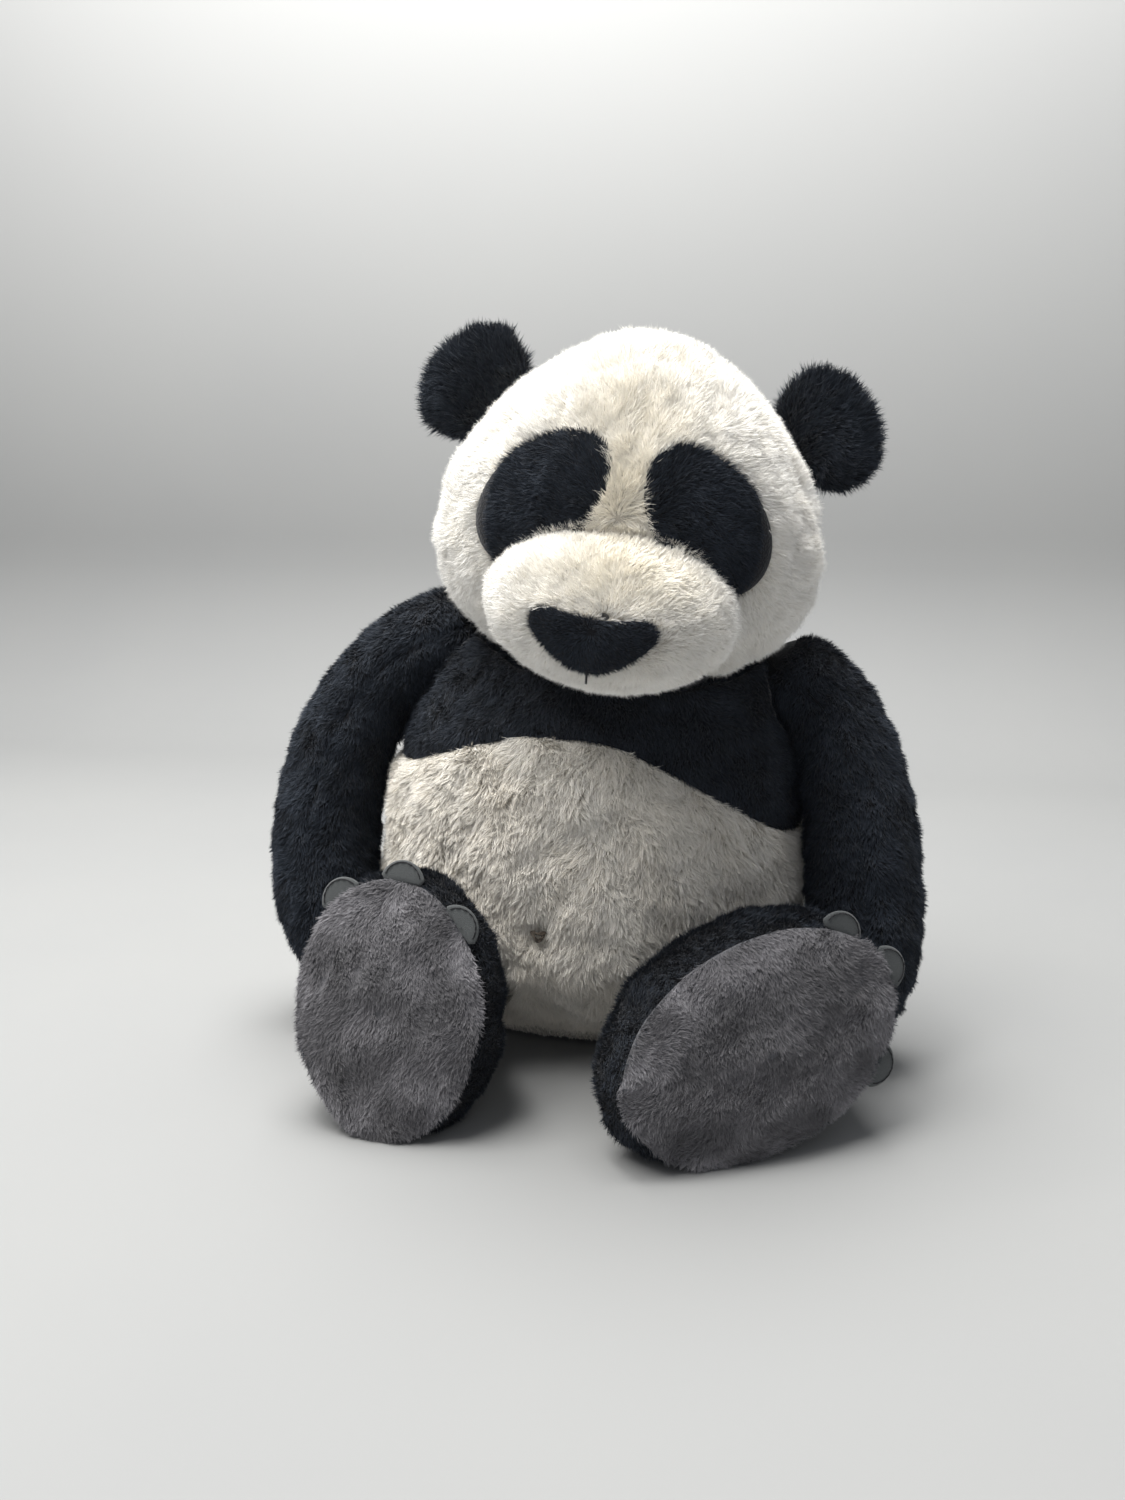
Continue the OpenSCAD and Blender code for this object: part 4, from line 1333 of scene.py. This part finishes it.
    def build(self) -> None:
        """Sews the head's panels and muzzle, adds patches and nose, and stuffs them."""
        tailor, strip = self.tailor, self.strip
        front = Pile(length=7.0 * MM, density=3.3e6, width=0.7 * MM, clump=0.38, clump_size=6.0 * MM)
        rear = Pile(length=7.0 * MM, density=2.2e6, width=0.85 * MM, clump=0.5, clump_size=6.0 * MM)
        short = Pile(length=5.5 * MM, density=3.8e6, width=0.65 * MM, clump=0.45, clump_size=5.0 * MM)
        panels = [("forehead_gusset", (-28, 240), (-strip, strip), front),
                  ("cheek_left", (-88, 88), (-self.pole, -strip - 0.25), front),
                  ("cheek_right", (-88, 88), (strip + 0.25, self.pole), front),
                  ("head_back_left", (88.25, 271.75), (-self.pole, -strip - 0.25), rear),
                  ("head_back_right", (88.25, 271.75), (strip + 0.25, self.pole), rear)]
        for node, u, v, pile in panels:
            tailor.sew(node, "head", Cloth.WHITE, self.surface(u, v, 0.0), self.surface(u, v, self.skin),
                       (80, 44), Coat(pile, self.nap, self.warm, self.keep))
        for node, t0, t1 in (("muzzle_top", 0.4, 179.6), ("muzzle_chin", 180.4, 359.6)):
            tailor.sew(node, "head", Cloth.WHITE, self.muzzle_surface(t0, t1, -self.muzzle_room),
                       self.muzzle_surface(t0, t1, -self.muzzle_room - self.skin), (32, 56),
                       Coat(short, self.nap_muzzle, self.warm, self.keep_muzzle))
        self.patches()
        tailor.stuff("head_stuffing", "head", lambda s, t: self.world(
            self.point(360 * t, mixed(85, -85, s), self.skin + 8.0)), 36, 60, 0.8)
        def snout(s: Array, t: Array) -> Array:
            r, w = np.sin(math.pi / 2 * mixed(0.05, 1.0, s)), 2 * math.pi * t
            x = (self.muzzle[0] - 8) * r * np.cos(w)
            z = self.muzzle_at[2] + (self.muzzle[2] - 8) * r * np.sin(w)
            y = np.minimum(self.muzzle_y(x, z, -8.0), self.face_y(x, z, 1.0))
            return self.world(np.stack([x, y, z], -1))
        tailor.stuff("muzzle_stuffing", "head", snout, 20, 40, 0.8)
        z = np.linspace(-85, -93, 24)
        line = np.stack([np.full(24, self.nose_at[0]), self.muzzle_y(0 * z, z, 3.4), z], -1)
        tailor.strand("mouth_thread", "mouth_stitch", "head", "thread", self.world(line), 0.7 * MM,
                      tailor.wardrobe.dark_thread)


@dataclass
class Ear:
    """One mitt-shaped ear of two halves, set on the head at its base seam."""

    tailor: Tailor
    head: Head
    side: int
    width: float = 74.0
    height: float = 55.0
    turn: float = 35.0
    y: float = 25.0
    up: float = 48.0
    air: float = 2.0
    thickness: float = 8.0

    @property
    def name(self) -> str:
        """The ear's body."""
        return "ear_left" if self.side < 0 else "ear_right"

    def world(self, p: Array) -> Array:
        """Metres in the frame from the ear's own millimetres: z out from the head, y to the back."""
        h, w = self.head, math.radians(self.turn)
        base = h.half_width * (1 - h.jowl * self.up / h.half_height) * math.sqrt(
            1 - (self.y / h.half_depth) ** 2 - (self.up / h.half_height) ** 2)
        a = math.radians(self.side * (90 - self.turn))
        out = base + self.air * math.cos(w)
        seam = np.array([self.side * out, self.y, self.up + self.air * math.sin(w)])
        return h.world(p @ about_y(a).T + seam)

    def surface(self, face: int, thick: float, base: float) -> Surface:
        """Half an ear from r and an angle: round above, squarer below, domed by 1 - r^2.4."""
        def at(r: Array, w: Array) -> Array:
            c, s = np.cos(w), np.sin(w)
            x = self.width / 2 * r * np.where(s < 0, 0.97 * power(c, 0.75), c)
            z = self.height / 2 * (1 + r * np.where(s < 0, power(s, 0.9), s))
            cup = 4.0 * (x / (self.width / 2)) ** 2
            return self.world(np.stack([x, face * (base + thick * (1 - r**2.4)) - cup, z], -1))
        return at

    def nap(self, root: Array, normal: Array) -> Array:
        """The ear's pile is stroked outwards from its base."""
        base = self.world(np.array([0.0, 0.0, -12.0]))
        return unit(root - base)

    def build(self) -> None:
        """Sews both halves with long pile that stands past the rim."""
        pile = Pile(length=7.5 * MM, density=2.6e6, width=0.75 * MM, lean=0.55, clump=0.45,
                    clump_size=5.0 * MM)
        for half, face in (("front", -1), ("back", 1)):
            node = f"{self.name}_{half}"
            self.tailor.lay(node, self.name, Cloth.BLACK, self.surface(face, self.thickness, 0.6),
                            self.surface(face, 0.0, 0.15), (14, 40), Coat(pile, self.nap))


# ---------------------------------------------------------------- limbs


ARM_ROOT = 31.0
LEG_ROOT = 38.0
ARM_CROWD = 1.6


@dataclass
class Limb:
    """Sewn tube along a curve with a round root, in millimetres on the pattern."""

    tailor: Tailor
    pattern: Pattern
    name: str
    path: Bend
    up: Array
    roll: float
    root: float
    crowd: float = 1.0
    skin: float = 3.5
    root_rings: float = 0.3
    pile_room: float = 2.5

    def radii(self, t: Array, d: Array | float) -> tuple[Array, Array]:
        """Half sizes of the section at t: set by each kind of limb."""
        raise NotImplementedError

    def tube(self, s: Array, angle: Array, d: Array | float) -> Array:
        """Point of the limb: first the ball at its root, then the path, crowded to its end."""
        ball = s < self.root_rings
        w = np.radians(mixed(8, 90, np.minimum(1, s / self.root_rings)))
        share = np.clip((s - self.root_rings) / (1 - self.root_rings), 0, 1)
        t = np.where(ball, 0.0, 1 - (1 - share) ** self.crowd)
        f0, f1 = self.path.across(t, self.up, self.roll)
        root = self.root - d
        middle = self.path.at(t) - np.where(ball, root * np.cos(w), 0.0)[..., None] * self.path.slope(0 * t)
        r0, r1 = self.radii(t, d)
        r0, r1 = np.where(ball, root * np.sin(w), r0), np.where(ball, root * np.sin(w), r1)
        p = middle + f0 * (r0 * np.cos(angle))[..., None] + f1 * (r1 * np.sin(angle))[..., None]
        p[..., 2] = np.maximum(p[..., 2], 0.6)
        return p

    def surface(self, a0: float, a1: float, d: float, reach: float) -> Surface:
        """One panel's skin between two angles, sunk along its seams and rippled."""
        def at(s: Array, t: Array) -> Array:
            angle = np.radians(mixed(a0, a1, t))
            q = self.tube(reach * s, angle, 0.0)
            slack = 1.2 * Ripple(34.0, 31)(q) * smooth((s - self.root_rings) / 0.2)
            sink = self.pile_room + valley(t, 110.0, 1.6, 4.0) + slack
            return self.pattern.world(self.tube(reach * s, angle, d + sink))
        return at

    def nap(self, root: Array, normal: Array) -> Array:
        """The pile is stroked from the root to the end."""
        way = self.path.at(np.array(1.0)) - self.path.at(np.array(0.0))
        return np.tile(unit(way), (len(root), 1))

    def keep(self, root: Array) -> Array:
        """Roots that stand clear of the socket."""
        q = self.pattern.local(root) - self.path.at(np.array(0.0))
        return q @ self.path.slope(np.array(0.0)) > -0.6 * self.root


@dataclass
class Arm(Limb):
    """Limp arm that hangs to the floor and rounds off at the hand."""

    flare: float = 7.0
    reach: float = 0.997

    def radii(self, t: Array, d: Array | float) -> tuple[Array, Array]:
        """Slowly wider to the hand, then rounded off over the last quarter."""
        close = np.sqrt(np.maximum(0, 1 - np.maximum(0, (t - 0.76) / 0.2405) ** 2.2))
        r = (self.root - d + self.flare * smooth(t / 0.8)) * close
        return 1.04 * r, r

    def build(self, outer_first: bool) -> None:
        """Sews the arm's two halves and stuffs it.

        Args:
            outer_first: whether the outer half is the one from 1 to 179 degrees.
        """
        pile = Pile(length=5.5 * MM, density=1.9e6, width=0.8 * MM, clump=0.4, clump_size=4.5 * MM)
        halves = (("outer", "inner") if outer_first else ("inner", "outer"))
        for half, (a0, a1) in zip(halves, ((0.5, 179.5), (180.5, 359.5))):
            self.tailor.sew(f"{self.name}_{half}", self.name, Cloth.BLACK,
                            self.surface(a0, a1, 0.0, self.reach),
                            self.surface(a0, a1, self.skin, self.reach),
                            (84, 36), Coat(pile, self.nap, keep=self.keep))
        self.tailor.stuff(f"{self.name}_stuffing", self.name, lambda s, t: self.pattern.world(
            self.tube(0.95 * s, 2 * math.pi * t, self.skin + 5.0)), 48, 32, 0.6)


TOE_STEPS = ((0.05, 1.9), (0.5, 1.9), (0.86, 1.7), (0.96, 1.35),
             (1.0, 0.9), (0.97, 0.35), (0.9, 0.0), (0.05, 0.0))


@dataclass
class Leg(Limb):
    """Short leg that widens to a flat oval sole with three felt toes."""

    sole: tuple[float, float] = (75.0, 57.0)
    bulge: float = 6.0
    dome: float = 11.0
    toes: dict[str, float] = field(default_factory=dict)
    toe_radius: float = 14.0
    toe_reach: float = 10.0

    def radii(self, t: Array, d: Array | float) -> tuple[Array, Array]:
        """From the round root to the sole's oval, with a bulge before the sole's seam."""
        k = smooth((t - 0.1) / 0.6)
        out = self.bulge * np.sin(math.pi * np.clip((t - 0.35) / 0.65, 0, 1)) - d
        return mixed(self.root, self.sole[0], k) + out, mixed(self.root, self.sole[1], k) + out

    def sole_point(self, r: Array, angle: Array, d: Array | float) -> Array:
        """Point of the sole: an oval pushed out by the dome times 1 - r^2.6."""
        f0, f1 = self.path.across(np.array(1.0), self.up, self.roll)
        out = self.dome * (1 - r**2.6) - d
        p = self.path.at(np.array(1.0)) + out[..., None] * self.path.slope(np.array(1.0))
        p = p + (self.sole[0] * r * np.cos(angle))[..., None] * f0
        p = p + (self.sole[1] * r * np.sin(angle))[..., None] * f1
        p[..., 2] = np.maximum(p[..., 2], 0.6)
        return p

    def sole_surface(self, d: float, edge: float) -> Surface:
        """The sole in metres, with the slack ripples of a soft cushion."""
        def at(r: Array, w: Array) -> Array:
            q = self.sole_point(r * edge, w, np.zeros_like(r))
            sink = 1.4 * Ripple(32.0, 33)(q) + d
            return self.pattern.world(self.sole_point(r * edge, w, sink))
        return at

    def combed_nap_and_rim_sheen(self, root: Array) -> Array:
        """Lighter tip tone in broad patches of combed nap, and towards the rim a painted sheen that lightens
        the pile.
        """
        q = self.pattern.local(root)
        f0, f1 = self.path.across(np.array(1.0), self.up, self.roll)
        p = q - self.path.at(np.array(1.0))
        # Painted sheen: the rim of the sole gets a lighter pile, as if the rim caught the light.
        rim = smooth(((p @ f0 / self.sole[0]) ** 2 + (p @ f1 / self.sole[1]) ** 2 - 0.3) / 0.6)
        stroke = smooth(0.5 + 0.9 * Ripple(38.0, 35)(q))
        return 0.42 * rim * (0.4 + 0.6 * stroke) + 0.30 * stroke

    def nap_sole(self, root: Array, normal: Array) -> Array:
        """The sole's pile lies down and to the sides in turn."""
        swing = 1.1 * Ripple(0.05, 37)(root)
        return np.stack([np.sin(swing), 0 * swing, -np.cos(swing)], -1)

    def build(self) -> None:
        """Sews the leg's halves and sole, stuffs it, and adds the felt toes."""
        tailor = self.tailor
        pile = Pile(length=5.5 * MM, density=2.0e6, width=0.8 * MM, clump=0.4, clump_size=4.5 * MM)
        for half, (a0, a1) in (("upper", (-89.5, 89.5)), ("lower", (90.5, 269.5))):
            tailor.sew(f"{self.name}_{half}", self.name, Cloth.BLACK,
                       self.surface(a0, a1, 0.0, 1.0), self.surface(a0, a1, self.skin, 1.0),
                       (60, 56), Coat(pile, self.nap, keep=self.keep))
        grey = Pile(length=4.5 * MM, density=5.0e6, width=0.6 * MM, lean=0.7, clump=0.5,
                    clump_size=3.5 * MM, swirl=0.5)
        tailor.lay(f"{self.name}_sole", self.name, Cloth.GREY, self.sole_surface(-1.6, 0.985),
                   self.sole_surface(0.8, 0.93), (20, 64), Coat(grey, self.nap_sole, self.combed_nap_and_rim_sheen), (30, 90))
        def stuffing(s: Array, t: Array) -> Array:
            w, tail = 2 * math.pi * t, np.clip((s - 0.75) / 0.25, 0, 1)
            tube = self.tube(np.minimum(0.98, s / 0.75), w, self.skin + 5.0)
            return self.pattern.world(np.where((s <= 0.75)[..., None], tube,
                                               self.sole_point(mixed(0.88, 0.05, tail), w, 6.0 + 0 * w)))
        tailor.stuff(f"{self.name}_stuffing", self.name, stuffing, 48, 40, 0.7)
        tailor.finish_node(f"{self.name}_pellet_bag", tailor.wardrobe.pellets)
        for title, angle in self.toes.items():
            self.toe(title, angle)

    def toe(self, title: str, angle: float) -> None:
        """One D-shaped felt flap with rounded edges, and its row of stitches.

        Args:
            title: which toe.
            angle: its place round the sole, in degrees from the sole's top.
        """
        a = math.radians(angle)
        f0, f1 = self.path.across(np.array(1.0), self.up, self.roll)
        g = self.path.slope(np.array(1.0))
        b, c = self.sole
        reach = 1 / math.sqrt((math.cos(a) / b) ** 2 + (math.sin(a) / c) ** 2) + 0.6
        at = self.path.at(np.array(1.0)) + (f0 * math.cos(a) + f1 * math.sin(a)) * reach + 0.8 * g
        n = unit(f0 * math.cos(a) * c + f1 * math.sin(a) * b)
        side = np.cross(n, g)
        half = math.acos((self.toe_radius - self.toe_reach) / self.toe_radius)
        w = np.linspace(-half, half, 40)
        arc = self.toe_radius * np.stack([np.sin(w), np.cos(w) - 1], -1) + np.array([0.0, self.toe_reach])
        base = np.stack([np.linspace(arc[-1, 0], arc[0, 0], 14)[1:-1], np.full(12, -3.0)], -1)
        rim = np.concatenate([arc, base])
        centre = np.array([0.0, self.toe_reach * 0.40])
        def place(flat: Array, high: Array) -> Array:
            return self.pattern.world(at + flat[..., :1] * side + flat[..., 1:] * n + high[..., None] * g)
        rings = np.stack([place(centre + k * (rim - centre), np.full(len(rim), h)) for k, h in TOE_STEPS])
        node = f"{self.name}_toe_{title}"
        felt = make_object(node + "_felt", *closed(rings), self.tailor.wardrobe.felt)
        self.tailor.place(felt, self.name, node, "toe_felt")
        run = centre + 0.80 * (arc - centre)
        wave = 2.0 + 0.35 * np.sin(np.linspace(0, 14 * math.pi, len(run)))
        thread = make_object(node + "_stitching", *twisted(place(run, wave), 0.45 * MM, 8.0),
                             self.tailor.wardrobe.dark_thread)
        self.tailor.place(thread, self.name, node, "thread", hide=False)


CUP_AIR = 0.6


@dataclass
class Gusset:
    """Cup between a limb's round root and its socket, with short pile where it shows."""

    tailor: Tailor
    pattern: Pattern
    name: str
    centre: Array
    towards: tuple[float, float, float]
    radius: float
    half_angle: float = 48.0
    thickness: float = 2.0
    pile_room: float = 1.2

    def surface(self, r: float) -> Surface:
        """Cap of a sphere of radius r about the joint, from its pole to its edge."""
        z = unit(np.array(self.towards))
        x = unit(np.cross(UP, z))
        y = np.cross(z, x)

        def at(s: Array, t: Array) -> Array:
            w, a = np.radians(mixed(2.0, self.half_angle, s)), 2 * math.pi * t
            flat = np.sin(w)[..., None] * (np.cos(a)[..., None] * x + np.sin(a)[..., None] * y)
            return self.pattern.world(self.centre + r * (flat + np.cos(w)[..., None] * z))
        return at

    def nap(self, root: Array, normal: Array) -> Array:
        """The pile is stroked towards the limb."""
        return np.tile(-unit(np.array(self.towards)), (len(root), 1))

    def build(self) -> None:
        """Sews the cup."""
        pile = Pile(length=3.0 * MM, density=1.8e6, width=0.8 * MM, lean=0.8, clump=0.3, clump_size=4.0 * MM)
        top = self.radius + self.thickness - self.pile_room
        self.tailor.sew(f"{self.name}_gusset", self.name, Cloth.BLACK, self.surface(top),
                        self.surface(self.radius), (10, 48), Coat(pile, self.nap))


# ---------------------------------------------------------------- studio


@dataclass
class Studio:
    """Pale sweep, soft lights and the camera, in metres."""

    camera_at: tuple[float, ...] = (0.1353, -0.7433, 0.35)
    camera_turn: tuple[float, ...] = (79.0, 0.0, 11.0)
    lens: float = 28.8
    floor_half: float = 3.0
    bend_at: float = 0.9
    bend: float = 0.3
    wall_end: float = 3.2
    aim: tuple[float, ...] = (0.0, 0.0, 0.2)
    sky: float = 0.41

    def sweep(self) -> None:
        """Floor that curves up into a backdrop: flat, a quarter round, then upright, with painted light that
        turns the paper paler higher up the backdrop.
        """
        def at(s: Array, t: Array) -> Array:
            u = mixed(-self.floor_half, self.wall_end, t)
            w = np.clip((u - self.bend_at) / (self.bend * math.pi / 2), 0, 1) * math.pi / 2
            past = np.maximum(0, u - self.bend_at - self.bend * math.pi / 2)
            y = np.minimum(u, self.bend_at) + self.bend * np.sin(w)
            z = self.bend * (1 - np.cos(w)) + past
            return np.stack([mixed(self.floor_half, -self.floor_half, s), y, z], -1)
        points = grid(at, 40, 120)
        material = bpy.data.materials.new("studio_paper")
        material.use_nodes = True
        n = Nodes(material.node_tree)
        place = n.add("ShaderNodeTexCoord").outputs["Object"]
        cloudy = n.add("ShaderNodeTexNoise", Vector=place, Scale=3.0, Detail=3.0).outputs[0]
        tone = n.blend(cloudy, colour(0.25, 0.253, 0.253), colour(0.275, 0.277, 0.272))
        # Painted light: from 0.3 m up, the paper's colour turns paler, standing in for brighter light on the
        # upper backdrop.
        height = n.add("ShaderNodeSeparateXYZ", Vector=place).outputs[2]
        rise = n.add("ShaderNodeMapRange", Value=height, From_Min=0.3, From_Max=1.5).outputs[0]
        tone = n.blend(rise, tone, colour(0.50, 0.503, 0.497))
        bsdf = n.add("ShaderNodeBsdfPrincipled", Base_Color=tone, Roughness=0.85)
        n.add("ShaderNodeOutputMaterial", Surface=bsdf.outputs[0])
        make_object("studio_sweep", points.reshape(-1, 3), quads(40, 120)[:, ::-1], material)

    def lamp(self, name: str, at: tuple[float, ...], size: float, watts: float,
             tint: tuple[float, ...]) -> None:
        """One soft square lamp that faces the middle of the object."""
        data = bpy.data.lights.new(name, "AREA")
        data.size, data.energy, data.color = size, watts, tint
        obj = bpy.data.objects.new(name, data)
        way = unit(np.array(self.aim) - np.array(at))
        tilt, turn = math.acos(-way[2]), math.atan2(way[1], way[0])
        obj.location = at
        obj.rotation_euler = (tilt, 0.0, turn - math.pi / 2)
        bpy.context.scene.collection.objects.link(obj)

    def build(self) -> None:
        """Sets the sweep, lamps, sky and camera."""
        self.sweep()
        self.lamp("key_lamp", (-0.75, -0.55, 2.0), 1.3, 52.0, (1.0, 0.985, 0.96))
        self.lamp("top_lamp", (-0.15, 0.3, 2.4), 1.4, 90.0, (1.0, 0.995, 0.98))
        world = bpy.data.worlds.new("studio_world")
        world.use_nodes = True
        world.node_tree.nodes["Background"].inputs[0].default_value = colour(0.90, 0.93, 1.0)
        world.node_tree.nodes["Background"].inputs[1].default_value = self.sky
        scene = bpy.context.scene
        scene.world = world
        scene.view_settings.view_transform = "Standard"
        data = bpy.data.cameras.new("camera")
        data.lens, data.sensor_width = self.lens, 36.0
        camera = bpy.data.objects.new("camera", data)
        camera.location = self.camera_at
        camera.rotation_euler = tuple(math.radians(x) for x in self.camera_turn)
        scene.collection.objects.link(camera)
        scene.camera = camera


# ---------------------------------------------------------------- assembly


def limbs(tailor: Tailor, pattern: Pattern) -> tuple[list[tuple[Arm, bool]], list[Leg]]:
    """Both arms, each with whether its outer half comes first, and both legs."""
    y = np.array([0.0, 1.0, 0.0])

    def bend(centres: dict[str, Array], side: str, *rest: tuple[float, ...]) -> Bend:
        """Curve from a joint through three more control points."""
        return Bend((tuple(centres[side]), *rest))

    left_arm = bend(pattern.shoulders, "left", (-170, 35, 250), (-222, 22, 148), (-170, 4, 22))
    right_arm = bend(pattern.shoulders, "right", (168, 30, 223), (187, 10, 133), (172, 0, 14))
    left_leg = bend(pattern.hips, "left", (-86, -80, 58), (-93, -108, 65), (-95, -134, 72))
    right_leg = bend(pattern.hips, "right", (82, -74, 54), (103, -98, 60), (118, -126, 64))
    arms = [(Arm(tailor, pattern, "arm_left", left_arm, y, 0.0, ARM_ROOT, ARM_CROWD), True),
            (Arm(tailor, pattern, "arm_right", right_arm, y, 0.0, ARM_ROOT, ARM_CROWD), False)]
    legs = [Leg(tailor, pattern, "leg_left", left_leg, UP, math.radians(3), LEG_ROOT,
                toes={"inner": -42.0, "middle": -6.0, "outer": 26.0}),
            Leg(tailor, pattern, "leg_right", right_leg, UP, math.radians(-69), LEG_ROOT,
                sole=(87.0, 60.4), toes={"inner": -37.0, "middle": 3.0, "outer": 29.0})]
    return arms, legs


def main() -> None:
    """Loads the frame and dresses it, one sub-assembly at a time."""
    logging.basicConfig(level=logging.INFO, format="%(name)s: %(message)s")
    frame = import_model()
    pattern = Pattern.read(frame)
    Studio().build()
    tailor = Tailor(Wardrobe())
    Torso(tailor, pattern).build()
    head = Head(tailor, pattern)
    head.build()
    for side in (-1, 1):
        Ear(tailor, head, side).build()
    arms, legs = limbs(tailor, pattern)
    for arm, outer_first in arms:
        arm.build(outer_first)
    for leg in legs:
        leg.build()
    for side, x in (("left", 1.0), ("right", -1.0)):
        Gusset(tailor, pattern, f"shoulder_{side}", pattern.shoulders[side], (x, 0.0, -0.1),
               ARM_ROOT + CUP_AIR).build()
        Gusset(tailor, pattern, f"hip_{side}", pattern.hips[side], (0.1 * x, 1.0, 0.0),
               LEG_ROOT + CUP_AIR).build()
    tailor.finish_node("neck_gusset", tailor.wardrobe.backing[Cloth.BLACK])


if __name__ == "__main__":
    main()
